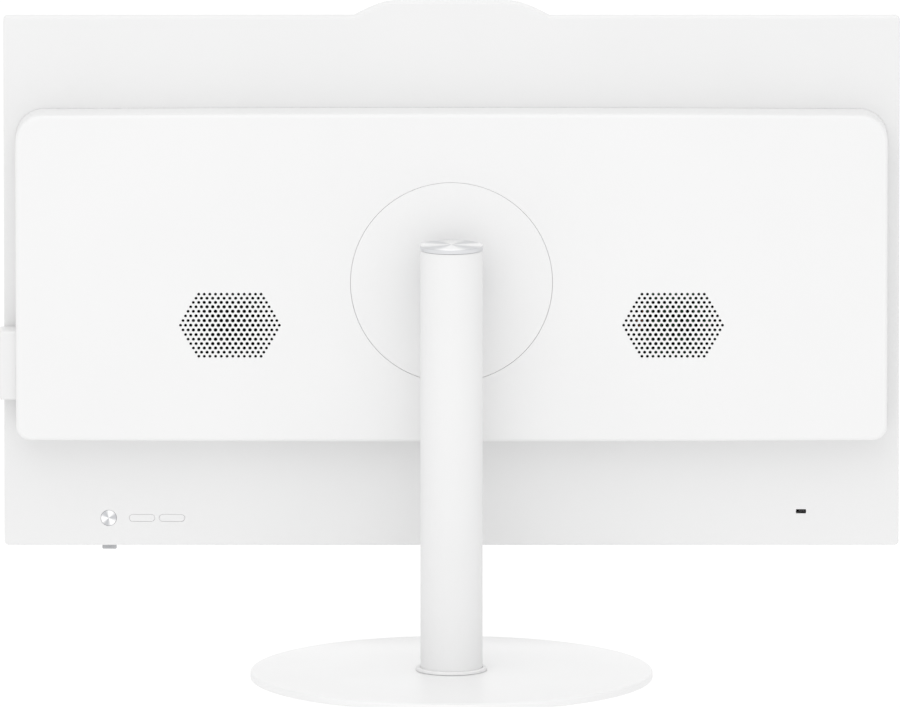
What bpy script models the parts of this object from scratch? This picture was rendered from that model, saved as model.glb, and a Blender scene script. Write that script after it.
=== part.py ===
"""All-in-one computer on a round column stand.

A flat display body carries a raised rear housing with the computer inside it. A hinge in the middle of the
housing tilts the display on a neck arm, which is held in a tube column on a disc base.

Metres, +Z up. The origin is on the desk, at the column's axis. The screen faces -Y.
"""

import math

import bmesh
import bpy
from mathutils import Matrix, Vector

for old in list(bpy.data.objects):
    bpy.data.objects.remove(old, do_unlink=True)

FIT = 0.0003  # clearance between pieces that touch
OVER = 0.002  # how far a cutter runs past the face it opens

# Stand
DISC_R = 0.13775
DISC_THICKNESS = 0.0049
FOOT_THICKNESS = 0.0018
FOOT_INSET = 0.016
FOOT_WIDTH = 0.010
COLUMN_R = 0.02125
COLUMN_WALL = 0.003
COLUMN_TOP = 0.3015
CAP_THICKNESS = 0.0033
COLLAR_WIDTH = 0.0028
COLLAR_HEIGHT = 0.002
PLUG_HEIGHT = 0.030
BASE_BOLT_R = 0.004

# Hinge
HUB_HEIGHT = 0.2685
NECK_GAP = 0.02175  # between the column and the rear housing
AXIS_DEPTH = 0.012  # of the tilt axis inside the rear housing
KNUCKLE_R = 0.009
NECK_HALF_WIDTH = 0.011
PIN_R = 0.004
WASHER_THICKNESS = 0.0017
EAR_THICKNESS = 0.004
EAR_R = 0.008
BRACKET_SIDE = 0.100
BRACKET_THICKNESS = 0.0025
SCREW_PITCH = 0.075

# Display body
DISPLAY_WIDTH = 0.614
DISPLAY_HEIGHT = 0.366
HUB_TO_BOTTOM = 0.1875
DISPLAY_CORNER_R = 0.003
DISPLAY_DEPTH = 0.017
FRAME_DEPTH = 0.0067
COVER_WALL = 0.0022
SIDE_BEZEL = 0.0035
CHIN = 0.0212
HUMP_HALF_BASE = 0.067
HUMP_HALF_TOP = 0.036
HUMP_HEIGHT = 0.0103
PANEL_THICKNESS = 0.002
GUIDE_THICKNESS = 0.0035
TRAY_WALL = 0.001
TRAY_MARGIN = 0.0035
CHASSIS_THICKNESS = 0.0012

# Rear housing
HOUSING_MARGIN = 0.0086  # from the display's side edge
HOUSING_BELOW_HUB = 0.1105
HOUSING_ABOVE_HUB = 0.1165
HOUSING_DEPTH = 0.031
HOUSING_WALL = 0.0025
HOUSING_TOP_R = 0.019
HOUSING_BOTTOM_R = 0.010
HOUSING_BOW = 0.0009
COVER_WINDOW_MARGIN = 0.0085  # of the opening under the housing, from the housing's edge
HUB_R = 0.069
HUB_FLANGE = 0.0035
VENT_OFFSET = 0.1517  # from the hub, sideways
VENT_DROP = 0.0296
VENT_HALF_MIDDLE = 0.0355
VENT_HALF_TOP = 0.0235
VENT_HALF_HEIGHT = 0.023

# Controls
POWER_FROM_SIDE = 0.0716
CONTROLS_RISE = 0.0189
POWER_R = 0.0054
KEY_LENGTH = 0.0175
KEY_HEIGHT = 0.0048
KEY_OFFSETS = (0.0229, 0.0435)  # from the power button
PRESS_TRAVEL = 0.0006
BUTTON_FLANGE = 0.0013
LOCK_FROM_SIDE = 0.067
LOCK_RISE = 0.0235
LOCK_WIDTH = 0.007
LOCK_HEIGHT = 0.003
SHUTTER_TRAVEL = 0.008

# Board and what it carries
BOARD_WIDTH = 0.170
BOARD_HEIGHT = 0.196
BOARD_THICKNESS = 0.0016
BOARD_FROM_HUB = 0.062
BOARD_STANDOFF = 0.0065
FAN_SIDE = 0.080
FAN_THICKNESS = 0.015
PIPE_R = 0.003
SOCKET_WALL = 0.0008
SOCKET_DEPTH = 0.015

# Side pod
POD_LENGTH = 0.0476
POD_PROUD = 0.0113
POD_INSIDE = 0.008
POD_RISE = 0.1049
POD_FROM_BACK = 0.007  # between the back faces of the pod and the rear housing

# Finishes: colour, roughness, metallic
WHITE = ((0.86, 0.86, 0.86), 0.42, 0.0)
DARK = ((0.03, 0.03, 0.03), 0.55, 0.0)
BLACK_GLASS = ((0.01, 0.01, 0.012), 0.08, 0.0)
CLEAR = ((0.80, 0.82, 0.84), 0.15, 0.0)
SPUN = ((0.78, 0.78, 0.80), 0.25, 1.0)
STEEL = ((0.55, 0.56, 0.58), 0.35, 1.0)
ALUMINIUM = ((0.70, 0.71, 0.73), 0.40, 1.0)
COPPER = ((0.72, 0.38, 0.22), 0.30, 1.0)
BOARD_GREEN = ((0.03, 0.16, 0.08), 0.50, 0.0)
RUBBER = ((0.05, 0.05, 0.05), 0.85, 0.0)
GREY = ((0.45, 0.46, 0.48), 0.50, 0.0)

# Levels along Y, from the back forwards
HOUSING_BACK = -(COLUMN_R + NECK_GAP)
PANEL_BACK = HOUSING_BACK - HOUSING_DEPTH
PANEL_FRONT = PANEL_BACK - DISPLAY_DEPTH
FRAME_BACK = PANEL_FRONT + FRAME_DEPTH
COVER_FLOOR = PANEL_BACK - COVER_WALL
GLASS_FRONT = PANEL_FRONT + FIT
GUIDE_FRONT = GLASS_FRONT + PANEL_THICKNESS + FIT
TRAY_FLOOR = GUIDE_FRONT + GUIDE_THICKNESS + FIT
TRAY_BACK = TRAY_FLOOR + TRAY_WALL
CHASSIS_FRONT = TRAY_BACK + FIT
CHASSIS_BACK = CHASSIS_FRONT + CHASSIS_THICKNESS
BOARD_FRONT = CHASSIS_BACK + BOARD_STANDOFF + FIT
BOARD_BACK = BOARD_FRONT + BOARD_THICKNESS

# Heights and half widths
DISC_TOP = FOOT_THICKNESS + FIT + DISC_THICKNESS
DISPLAY_HALF = DISPLAY_WIDTH / 2
DISPLAY_BOTTOM = HUB_HEIGHT - HUB_TO_BOTTOM
DISPLAY_TOP = DISPLAY_BOTTOM + DISPLAY_HEIGHT
HOUSING_HALF = DISPLAY_HALF - HOUSING_MARGIN
HOUSING_BOTTOM = HUB_HEIGHT - HOUSING_BELOW_HUB
HOUSING_TOP = HUB_HEIGHT + HOUSING_ABOVE_HUB
HOUSING_FLOOR = HOUSING_BOTTOM + HOUSING_BOW + HOUSING_WALL + FIT
TILT_AXIS = Vector((0, HOUSING_BACK - AXIS_DEPTH, HUB_HEIGHT))

PARTS = bpy.data.collections.new("all_in_one_pc")
CUTTERS = bpy.data.collections.new("cutters")
for collection in (PARTS, CUTTERS):
    bpy.context.scene.collection.children.link(collection)


def add_object(name, mesh, location=(0, 0, 0)):
    made = bpy.data.objects.new(name, mesh)
    made.location = location
    PARTS.objects.link(made)
    return made


def mesh_of(name, bm):
    bmesh.ops.recalc_face_normals(bm, faces=bm.faces)
    mesh = bpy.data.meshes.new(name)
    bm.to_mesh(mesh)
    bm.free()
    return mesh


def paint(obj, look):
    """Gives a piece its own material."""
    colour, roughness, metallic = look
    material = bpy.data.materials.new(obj.name)
    material.use_nodes = True
    shader = material.node_tree.nodes["Principled BSDF"]
    shader.inputs["Base Color"].default_value = (*colour, 1)
    shader.inputs["Roughness"].default_value = roughness
    shader.inputs["Metallic"].default_value = metallic
    obj.data.materials.append(material)


def finish(obj, look):
    """Gives a piece its own material and shades its round faces smooth."""
    paint(obj, look)
    obj.data.shade_smooth()
    obj.data.set_sharp_from_angle(angle=math.radians(35))
    return obj


def bevel(obj, width, segments=2, limit="ANGLE"):
    modifier = obj.modifiers.new("rounded_edges", "BEVEL")
    modifier.width = width
    modifier.segments = segments
    modifier.limit_method = limit
    return obj


def block(name, low, high):
    """A box between two corners."""
    low, high = Vector(low), Vector(high)
    bm = bmesh.new()
    bmesh.ops.create_cube(bm, size=1)
    bmesh.ops.scale(bm, vec=high - low, verts=bm.verts)
    return add_object(name, mesh_of(name, bm), (low + high) / 2)


def rod(name, radius, start, end, segments=24):
    """A round bar between two points."""
    start, end = Vector(start), Vector(end)
    bm = bmesh.new()
    bmesh.ops.create_cone(
        bm, cap_ends=True, segments=segments, radius1=radius, radius2=radius, depth=(end - start).length
    )
    made = add_object(name, mesh_of(name, bm), (start + end) / 2)
    made.rotation_euler = (end - start).to_track_quat("Z", "Y").to_euler()
    return made


def turned(name, profile, place, axis="Z", steps=48):
    """A turned piece. The profile is radius and height, down the outer side, and closes itself off the axis."""
    bm = bmesh.new()
    points = [bm.verts.new((radius, 0, height)) for radius, height in profile]
    for first, second in zip(points, points[1:]):
        bm.edges.new((first, second))
    if profile[0][0] > 0:
        bm.edges.new((points[-1], points[0]))
    mesh = bpy.data.meshes.new(name)
    bm.to_mesh(mesh)
    bm.free()
    made = add_object(name, mesh, place)
    if axis == "Y":
        made.rotation_euler = (-math.pi / 2, 0, 0)
    if axis == "X":
        made.rotation_euler = (0, math.pi / 2, 0)
    screw = made.modifiers.new("turned", "SCREW")
    screw.steps = steps
    screw.render_steps = steps
    screw.use_merge_vertices = True
    screw.merge_threshold = 0.00001
    return made


def prism(name, outline, front, back, rounded=0.0):
    """A flat outline of X and Z points made solid from front to back. Its back edges can be rounded."""
    bm = bmesh.new()
    face = bm.faces.new([bm.verts.new((x, front, z)) for x, z in outline])
    pulled = bmesh.ops.extrude_face_region(bm, geom=[face])["geom"]
    moved = [item for item in pulled if isinstance(item, bmesh.types.BMVert)]
    bmesh.ops.translate(bm, vec=(0, back - front, 0), verts=moved)
    if rounded:
        weight = bm.edges.layers.float.new("bevel_weight_edge")
        for edge in bm.edges:
            edge[weight] = float(all(vert in moved for vert in edge.verts))
    made = add_object(name, mesh_of(name, bm))
    if rounded:
        bevel(made, rounded, 3, "WEIGHT")
    return made


def as_helper(obj):
    """Puts a cutter or a piece to be joined aside, where it is out of the render."""
    if obj.name not in CUTTERS.objects:
        PARTS.objects.unlink(obj)
        CUTTERS.objects.link(obj)
    obj.hide_render = True
    obj.display_type = "WIRE"
    return obj


def combine(obj, operation, others):
    for other in others:
        modifier = obj.modifiers.new(other.name, "BOOLEAN")
        modifier.operation = operation
        modifier.object = as_helper(other)
    return obj


def cut(obj, *cutters):
    return combine(obj, "DIFFERENCE", cutters)


def fuse(obj, *pieces):
    return combine(obj, "UNION", pieces)


def joined(name, pieces):
    """One mesh from separate blocks or rods that don't touch, to cut a whole pattern at once."""
    bm = bmesh.new()
    for piece in pieces:
        mesh = piece.data.copy()
        mesh.transform(Matrix.LocRotScale(piece.location, piece.rotation_euler, None))
        bm.from_mesh(mesh)
        bpy.data.objects.remove(piece)
    return add_object(name, mesh_of(name, bm))


def arc(centre_x, centre_z, radius, start, end, steps=6):
    """Points of an arc, with its angles in degrees from +X towards +Z."""
    angles = [math.radians(start + (end - start) * step / steps) for step in range(steps + 1)]
    return [(centre_x + radius * math.cos(a), centre_z + radius * math.sin(a)) for a in angles]


def rounded_rectangle(left, right, bottom, top, bottom_r, top_r, bow=0.0):
    """A rectangle with arcs at its corners, whose long edges stand out by bow in the middle."""
    steps = 8 if bow else 0
    across = [1 - 2 * step / steps for step in range(1, steps)]
    middle = (left + right) / 2
    half = (right - left) / 2
    low = [(middle - x * (half - bottom_r), bottom - bow * (1 - x * x)) for x in across]
    high = [(middle + x * (half - top_r), top + bow * (1 - x * x)) for x in across]
    return (
        arc(left + bottom_r, bottom + bottom_r, bottom_r, 180, 270)
        + low
        + arc(right - bottom_r, bottom + bottom_r, bottom_r, 270, 360)
        + arc(right - top_r, top - top_r, top_r, 0, 90)
        + high
        + arc(left + top_r, top - top_r, top_r, 90, 180)
    )


def display_outline(inset=0.0):
    """The display's outline, with the camera hump on its top edge."""
    half = DISPLAY_HALF - inset
    top = DISPLAY_TOP - inset
    radius = max(DISPLAY_CORNER_R - inset, 0.0005)
    body = rounded_rectangle(-half, half, DISPLAY_BOTTOM + inset, top, radius, radius)
    corner = len(body) - 7  # the last seven points are the top left corner's
    steps = 10
    shoulder = []
    for step in range(steps + 1):
        x = HUMP_HALF_BASE - inset + (HUMP_HALF_TOP - HUMP_HALF_BASE) * step / steps
        shoulder.append((x, top + HUMP_HEIGHT * math.sin(math.pi / 2 * step / steps)))
    other_shoulder = [(-x, z) for x, z in reversed(shoulder)]
    return body[:corner] + shoulder + other_shoulder + body[corner:]


def housing_outline(inset=0.0):
    return rounded_rectangle(
        inset - HOUSING_HALF,
        HOUSING_HALF - inset,
        HOUSING_BOTTOM + HOUSING_BOW + inset,
        HOUSING_TOP - HOUSING_BOW - inset,
        HOUSING_BOTTOM_R - inset,
        HOUSING_TOP_R - inset,
        HOUSING_BOW,
    )


def vent_outline(side, grow=0.0):
    x = side * VENT_OFFSET
    z = HUB_HEIGHT - VENT_DROP
    half, top, height = VENT_HALF_MIDDLE + grow, VENT_HALF_TOP + grow / 2, VENT_HALF_HEIGHT + grow
    return [
        (x + half, z), (x + top, z + height), (x - top, z + height),
        (x - half, z), (x - top, z - height), (x + top, z - height),
    ]


def disc_base():
    rounding = 0.0018
    edge = arc(DISC_R - rounding, DISC_THICKNESS - rounding, rounding, 90, 0, 4)
    profile = [(BASE_BOLT_R + FIT, DISC_THICKNESS)] + edge
    profile += [(DISC_R, 0.0004), (DISC_R - 0.0004, 0), (BASE_BOLT_R + FIT, 0)]
    finish(turned("base_disc", profile, (0, 0, FOOT_THICKNESS + FIT), steps=64), WHITE)
    outer = DISC_R - FOOT_INSET
    ring = [(outer - FOOT_WIDTH, FOOT_THICKNESS), (outer, FOOT_THICKNESS), (outer, 0), (outer - FOOT_WIDTH, 0)]
    finish(turned("base_foot_ring", ring, (0, 0, 0)), RUBBER)


def base_bolt():
    """The captive bolt that draws the column down on to the disc."""
    head_top = FOOT_THICKNESS
    head = 0.0014
    shaft_top = DISC_TOP + PLUG_HEIGHT - 0.006
    profile = [
        (0, shaft_top), (BASE_BOLT_R - 0.0006, shaft_top), (BASE_BOLT_R, shaft_top - 0.0006),
        (BASE_BOLT_R, head_top), (0.011, head_top), (0.011, head_top - head), (0, head_top - head),
    ]
    finish(turned("base_bolt", profile, (0, 0, 0), steps=16), STEEL)


def column():
    inner = COLUMN_R - COLUMN_WALL
    bottom = DISC_TOP + FIT
    top = COLUMN_TOP - CAP_THICKNESS - FIT
    tube = turned("column_tube", [(inner, top), (COLUMN_R, top), (COLUMN_R, bottom), (inner, bottom)], (0, 0, 0))
    slot_half = NECK_HALF_WIDTH + FIT
    slot_low = HUB_HEIGHT - KNUCKLE_R - FIT
    slot = block("neck_slot", (-slot_half, -COLUMN_R - OVER, slot_low), (slot_half, -COLUMN_R / 2, top + OVER))
    cut(tube, slot, *set_screw_holes("tube"))
    finish(tube, WHITE)

    collar_in = COLUMN_R + FIT
    collar_out = collar_in + COLLAR_WIDTH
    chamfer = 0.0006
    collar = [
        (collar_in, COLLAR_HEIGHT), (collar_out - chamfer, COLLAR_HEIGHT),
        (collar_out, COLLAR_HEIGHT - chamfer), (collar_out, 0), (collar_in, 0),
    ]
    finish(turned("column_collar", collar, (0, 0, bottom), steps=32), WHITE)

    spigot = inner - FIT
    cap_r = COLUMN_R + FIT
    cap_low = COLUMN_TOP - CAP_THICKNESS
    cap = [
        (0, COLUMN_TOP), (cap_r - 0.0012, COLUMN_TOP), (cap_r - 0.0004, COLUMN_TOP - 0.0004),
        (cap_r, COLUMN_TOP - 0.0012), (cap_r, cap_low), (spigot, cap_low), (spigot, cap_low - 0.002),
        (0, cap_low - 0.002),
    ]
    finish(turned("column_cap", cap, (0, 0, 0), steps=32), SPUN)

    hole = BASE_BOLT_R + FIT
    plug = [(hole, PLUG_HEIGHT), (spigot, PLUG_HEIGHT), (spigot, 0), (hole, 0)]
    finish(turned("column_foot_plug", plug, (0, 0, bottom), steps=32), ALUMINIUM)


SET_SCREW_R = 0.002
SET_SCREW_DROPS = (0.0155, 0.0245)  # below the hub
SET_SCREW_INNER = -0.010


def set_screw_holes(name):
    radius = SET_SCREW_R + FIT
    inner = SET_SCREW_INNER + FIT
    heights = [HUB_HEIGHT - drop for drop in SET_SCREW_DROPS]
    return [
        rod(f"{name}_screw_hole_{number}", radius, (0, -COLUMN_R - OVER, z), (0, inner, z), 12)
        for number, z in enumerate(heights, 1)
    ]


def neck():
    """The cast arm: a plug held in the tube, and a bar out to the hinge's knuckle."""
    plug_r = COLUMN_R - COLUMN_WALL - FIT
    plug_top = COLUMN_TOP - CAP_THICKNESS - 0.002 - FIT
    plug_low = HUB_HEIGHT - KNUCKLE_R - 0.023
    arm = rod("neck_arm", plug_r, (0, 0, plug_low), (0, 0, plug_top), 32)
    bar = block(
        "neck_bar",
        (-NECK_HALF_WIDTH, TILT_AXIS.y, HUB_HEIGHT - KNUCKLE_R),
        (NECK_HALF_WIDTH, 0, HUB_HEIGHT + KNUCKLE_R),
    )
    knuckle = rod("knuckle", KNUCKLE_R, (-NECK_HALF_WIDTH, *TILT_AXIS.yz), (NECK_HALF_WIDTH, *TILT_AXIS.yz), 32)
    fuse(arm, bar, knuckle)
    bore = rod("pin_bore", PIN_R + FIT, (-BRACKET_SIDE, *TILT_AXIS.yz), (BRACKET_SIDE, *TILT_AXIS.yz), 20)
    cut(arm, bore, *set_screw_holes("arm"))
    finish(arm, ALUMINIUM)
    for number, drop in enumerate(SET_SCREW_DROPS, 1):
        z = HUB_HEIGHT - drop
        screw = rod(f"neck_set_screw_{number}", SET_SCREW_R, (0, FIT - COLUMN_R, z), (0, SET_SCREW_INNER, z), 12)
        finish(screw, DARK)
    return bore


EAR_INNER = NECK_HALF_WIDTH + WASHER_THICKNESS + 2 * FIT
EAR_OUTER = EAR_INNER + EAR_THICKNESS


def hinge_pin():
    """The pin that the display turns on, riveted over a head at each end, with a friction washer at each ear."""
    head_r = 0.006
    head = 0.0022
    half = EAR_OUTER + FIT
    profile = [
        (0, half + head), (head_r - 0.0006, half + head), (head_r, half + head - 0.0006), (head_r, half),
        (PIN_R, half), (PIN_R, -half), (head_r, -half), (head_r, 0.0006 - half - head),
        (head_r - 0.0006, -half - head), (0, -half - head),
    ]
    finish(turned("hinge_pin", profile, TILT_AXIS, "X", 20), STEEL)
    hole, outer = PIN_R + FIT, EAR_R
    ring = [(hole, WASHER_THICKNESS), (outer, WASHER_THICKNESS), (outer, 0), (hole, 0)]
    start = NECK_HALF_WIDTH + FIT
    for side, x in (("left", start), ("right", -start - WASHER_THICKNESS)):
        finish(turned(f"hinge_washer_{side}", ring, (x, *TILT_AXIS.yz), "X", 24), COPPER)


def tilt_bracket(bore):
    """The folded plate on the chassis whose two ears hold the hinge pin."""
    half = BRACKET_SIDE / 2
    back = CHASSIS_BACK + FIT + BRACKET_THICKNESS
    bracket = block("tilt_bracket", (-half, CHASSIS_BACK + FIT, HUB_HEIGHT - half), (half, back, HUB_HEIGHT + half))
    pieces = []
    for side in (1, -1):
        inner, outer = sorted((side * EAR_INNER, side * EAR_OUTER))
        pieces.append(
            block(
                f"ear_{side}",
                (inner, back - BRACKET_THICKNESS / 2, HUB_HEIGHT - EAR_R),
                (outer, TILT_AXIS.y, HUB_HEIGHT + EAR_R),
            )
        )
        pieces.append(rod(f"ear_end_{side}", EAR_R, (inner, *TILT_AXIS.yz), (outer, *TILT_AXIS.yz)))
    fuse(bracket, *pieces)
    pitch = SCREW_PITCH / 2
    spots = [(x, HUB_HEIGHT + z) for x in (pitch, -pitch) for z in (pitch, -pitch)]
    hole_r = 0.0022
    holes = [
        rod(f"bracket_hole_{number}", hole_r, (x, TRAY_BACK + FIT / 2, z), (x, back + OVER, z), 12)
        for number, (x, z) in enumerate(spots)
    ]
    pattern = joined("bracket_holes", holes)
    cut(bracket, bore, pattern)
    finish(bracket, STEEL)
    head, tip = 0.002, CHASSIS_FRONT + FIT
    for number, (x, z) in enumerate(spots, 1):
        profile = [(0, head), (0.003, head), (0.0035, head - 0.0005), (0.0035, 0), (hole_r - FIT, 0)]
        profile += [(hole_r - FIT, tip - back - FIT), (0, tip - back - FIT)]
        screw = turned(f"bracket_screw_{number}", profile, (x, back + FIT, z), "Y", 12)
        finish(screw, STEEL)
    return pattern


def hub_cover():
    """The round cover that snaps behind the edge of the housing's hole, with a window for the neck."""
    wall = HOUSING_WALL
    flange_r = HUB_R + HUB_FLANGE
    profile = [
        (0, 0), (HUB_R - 0.0004, 0), (HUB_R, -0.0004), (HUB_R, -wall - FIT), (flange_r, -wall - FIT),
        (flange_r, -wall - FIT - 0.0015), (HUB_R - 0.003, -wall - FIT - 0.0015), (HUB_R - 0.003, -wall), (0, -wall),
    ]
    cover = turned("hub_cover", profile, (0, HOUSING_BACK, HUB_HEIGHT), "Y", 48)
    half_width = NECK_HALF_WIDTH + 0.0025
    half_height = KNUCKLE_R + 0.0055
    window = block(
        "neck_window",
        (-half_width, HOUSING_BACK - wall - OVER, HUB_HEIGHT - half_height),
        (half_width, HOUSING_BACK + OVER, HUB_HEIGHT + half_height),
    )
    finish(cut(cover, window), WHITE)


def slots(name, left, right, low, high, count, width):
    """Slots through the housing's bottom wall, side by side along X."""
    pitch = (right - left) / count
    made = []
    for number in range(count):
        x = left + pitch * (number + 0.5)
        bottom = HOUSING_BOTTOM - OVER
        top = HOUSING_FLOOR + OVER
        made.append(block(f"{name}_{number}", (x - width / 2, low, bottom), (x + width / 2, high, top)))
    return joined(name, made)


SPEAKER_WIDTH = 0.050
SPEAKER_HEIGHT = 0.033
SPEAKER_OUTER = HOUSING_HALF - 0.0104
SPEAKER_DEPTH = 0.0214
SPEAKER_BACK = PANEL_BACK + 2 * FIT + SPEAKER_DEPTH
SINK_WIDTH = 0.064
SINK_BOTTOM = HOUSING_FLOOR + 0.0035
FAN_Z = HUB_HEIGHT - VENT_DROP
FAN_BOTTOM = FAN_Z - FAN_SIDE / 2
SINK_TOP = FAN_BOTTOM - 2 * PIPE_R - 3 * FIT
POD_LOW = DISPLAY_BOTTOM + POD_RISE
POD_HIGH = POD_LOW + POD_LENGTH
POD_FRONT = PANEL_BACK + FIT
POD_DEPTH = HOUSING_DEPTH - POD_FROM_BACK - FIT
POD_BACK = POD_FRONT + POD_DEPTH
POD_FACE = HOUSING_HALF + POD_PROUD
# Rear sockets: name, distance from the hub, opening along X, opening along Y, length
REAR_SOCKETS = (
    ("dc_inlet", 0.205, 0.0064, 0.0064, 0.012),
    ("video_port", 0.180, 0.0144, 0.0050, 0.013),
    ("network_jack", 0.154, 0.0120, 0.0085, 0.018),
    ("rear_usb_port_1", 0.128, 0.0128, 0.0054, SOCKET_DEPTH),
    ("rear_usb_port_2", 0.108, 0.0128, 0.0054, SOCKET_DEPTH),
)
PORT_LEFT, PORT_RIGHT = -0.214, -0.098
SHIELD_THICKNESS = 0.001


def rear_housing():
    rim = PANEL_BACK + FIT
    housing = prism("rear_housing", housing_outline(), rim, HOUSING_BACK, 0.0025)
    inside = prism("housing_inside", housing_outline(HOUSING_WALL), rim - OVER, HOUSING_BACK - HOUSING_WALL)
    hub_hole = rod(
        "hub_hole",
        HUB_R + FIT,
        (0, HOUSING_BACK - HOUSING_WALL - OVER, HUB_HEIGHT),
        (0, HOUSING_BACK + OVER, HUB_HEIGHT),
        64,
    )
    vents = [
        prism(f"vent_hole_{side}", vent_outline(side), HOUSING_BACK - HOUSING_WALL - OVER, HOUSING_BACK + OVER)
        for side in (1, -1)
    ]
    port_window = block(
        "port_window",
        (PORT_LEFT, BOARD_BACK + 0.0015, HOUSING_BOTTOM - OVER),
        (PORT_RIGHT, BOARD_BACK + 0.018, HOUSING_FLOOR + OVER),
    )
    pod_window = block(
        "pod_window",
        (HOUSING_HALF - HOUSING_WALL - OVER, rim - OVER, POD_LOW - FIT),
        (HOUSING_HALF + OVER, POD_BACK + FIT, POD_HIGH + FIT),
    )
    low, high = PANEL_BACK + 0.006, HOUSING_BACK - 0.009
    speaker_inner = SPEAKER_OUTER - SPEAKER_WIDTH
    openings = [
        slots("air_slots", VENT_OFFSET - SINK_WIDTH / 2, VENT_OFFSET + SINK_WIDTH / 2, low, high, 9, 0.0032),
        slots("sound_slots_left", speaker_inner + 0.008, SPEAKER_OUTER - 0.008, low, high, 5, 0.0025),
        slots("sound_slots_right", 0.008 - SPEAKER_OUTER, -speaker_inner - 0.008, low, high, 5, 0.0025),
    ]
    cut(housing, inside, hub_hole, *vents, port_window, pod_window, *openings)
    finish(housing, WHITE)


def vent_grille(name, side):
    """The perforated plate behind a vent opening."""
    back = HOUSING_BACK - HOUSING_WALL - FIT
    front = back - 0.0012
    plate = prism(name, vent_outline(side, 0.003), front, back)
    rows = (3, 4, 5, 4, 3)
    pitch = 0.0115
    holes = []
    for row, count in enumerate(rows):
        z = HUB_HEIGHT - VENT_DROP + (row - len(rows) // 2) * pitch * 0.866
        for number in range(count):
            x = side * VENT_OFFSET + (number - (count - 1) / 2) * pitch
            holes.append(rod(f"{name}_{row}_{number}", 0.0042, (x, front - OVER, z), (x, back + OVER, z), 6))
    finish(cut(plate, joined(f"{name}_holes", holes)), DARK)


POWER_X = DISPLAY_HALF - POWER_FROM_SIDE
CONTROLS_Z = DISPLAY_BOTTOM + CONTROLS_RISE
LOCK_X = LOCK_FROM_SIDE - DISPLAY_HALF
LOCK_Z = DISPLAY_BOTTOM + LOCK_RISE
KEYS = tuple(POWER_X - offset for offset in KEY_OFFSETS)
CHIN_TOP = DISPLAY_BOTTOM + CHIN
GLASS_TOP = DISPLAY_TOP - SIDE_BEZEL
LENS_HALF = 0.0045
LENS_PROUD = 0.0034
BUTTON_STOP = COVER_FLOOR - FIT - BUTTON_FLANGE
SWITCH_TOP = BUTTON_STOP - PRESS_TRAVEL - FIT
BUTTON_BOARD_BACK = SWITCH_TOP - 0.0009


def pill(length, height):
    """A bar outline with round ends, centred on zero."""
    radius = height / 2
    end = length / 2 - radius
    return arc(end, 0, radius, -90, 90, 8) + arc(-end, 0, radius, 90, 270, 8)


def pill_prism(name, x, length, height, front, back, rounded=0.0):
    """A bar with round ends, with its origin at its own middle."""
    made = prism(name, pill(length, height), front, back, rounded)
    made.location = (x, 0, CONTROLS_Z)
    return made


def back_cover():
    cover = prism("back_cover", display_outline(), FRAME_BACK + FIT, PANEL_BACK, 0.0008)
    inside = prism("cover_inside", display_outline(COVER_WALL), FRAME_BACK - OVER, COVER_FLOOR)
    window = prism("cover_window", housing_outline(COVER_WINDOW_MARGIN), COVER_FLOOR - OVER, PANEL_BACK + OVER)
    far, near = COVER_FLOOR - OVER, PANEL_BACK + OVER
    holes = [rod("power_hole", POWER_R + FIT, (POWER_X, far, CONTROLS_Z), (POWER_X, near, CONTROLS_Z))]
    for number, x in enumerate(KEYS):
        holes.append(pill_prism(f"key_hole_{number}", x, KEY_LENGTH + 2 * FIT, KEY_HEIGHT + 2 * FIT, far, near))
    half_width, half_height = LOCK_WIDTH / 2, LOCK_HEIGHT / 2
    lock_low, lock_high = LOCK_Z - half_height, LOCK_Z + half_height
    holes.append(block("lock_hole", (LOCK_X - half_width, far, lock_low), (LOCK_X + half_width, near, lock_high)))
    lens_front, lens_back = FRAME_BACK + 0.0022, FRAME_BACK + 0.0064
    holes.append(
        block(
            "lens_slot",
            (POWER_X - LENS_HALF - FIT, lens_front, DISPLAY_BOTTOM - OVER),
            (POWER_X + LENS_HALF + FIT, lens_back, DISPLAY_BOTTOM + COVER_WALL + OVER),
        )
    )
    cut(cover, inside, window, *holes)
    post_low, post_high = BUTTON_BOARD_BACK + FIT, PANEL_BACK - COVER_WALL / 2
    posts = [
        rod(f"button_post_{number}", 0.0022, (x, post_low, CONTROLS_Z), (x, post_high, CONTROLS_Z), 12)
        for number, x in enumerate((POWER_X + 0.0105, KEYS[-1] - 0.0135))
    ]
    finish(fuse(cover, *posts), WHITE)
    lens = block(
        "status_lens",
        (POWER_X - LENS_HALF, lens_front + FIT, DISPLAY_BOTTOM - LENS_PROUD),
        (POWER_X + LENS_HALF, lens_back - FIT, DISPLAY_BOTTOM + COVER_WALL + 0.002),
    )
    finish(bevel(lens, 0.0006), GREY)


def lock_plate():
    back = COVER_FLOOR - FIT
    front = back - 0.0015
    half_width, half_height = LOCK_WIDTH / 2, LOCK_HEIGHT / 2
    x_reach, z_reach = half_width + 0.0055, half_height + 0.0045
    plate = block(
        "lock_slot_plate", (LOCK_X - x_reach, front, LOCK_Z - z_reach), (LOCK_X + x_reach, back, LOCK_Z + z_reach)
    )
    slot = block(
        "lock_plate_slot",
        (LOCK_X - half_width, front - OVER, LOCK_Z - half_height),
        (LOCK_X + half_width, back + OVER, LOCK_Z + half_height),
    )
    finish(cut(plate, slot), STEEL)


def power_button():
    """The turned button: a head in the cover's hole and a flange behind it that keeps it in."""
    proud = 0.0001
    flange_top = BUTTON_STOP + BUTTON_FLANGE - PANEL_BACK
    flange_r = POWER_R + 0.0012
    profile = [
        (0, proud), (POWER_R - 0.0003, proud), (POWER_R, proud - 0.0003), (POWER_R, flange_top),
        (flange_r, flange_top), (flange_r, flange_top - BUTTON_FLANGE), (0, flange_top - BUTTON_FLANGE),
    ]
    finish(turned("power_button", profile, (POWER_X, PANEL_BACK, CONTROLS_Z), "Y", 32), SPUN)


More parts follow.
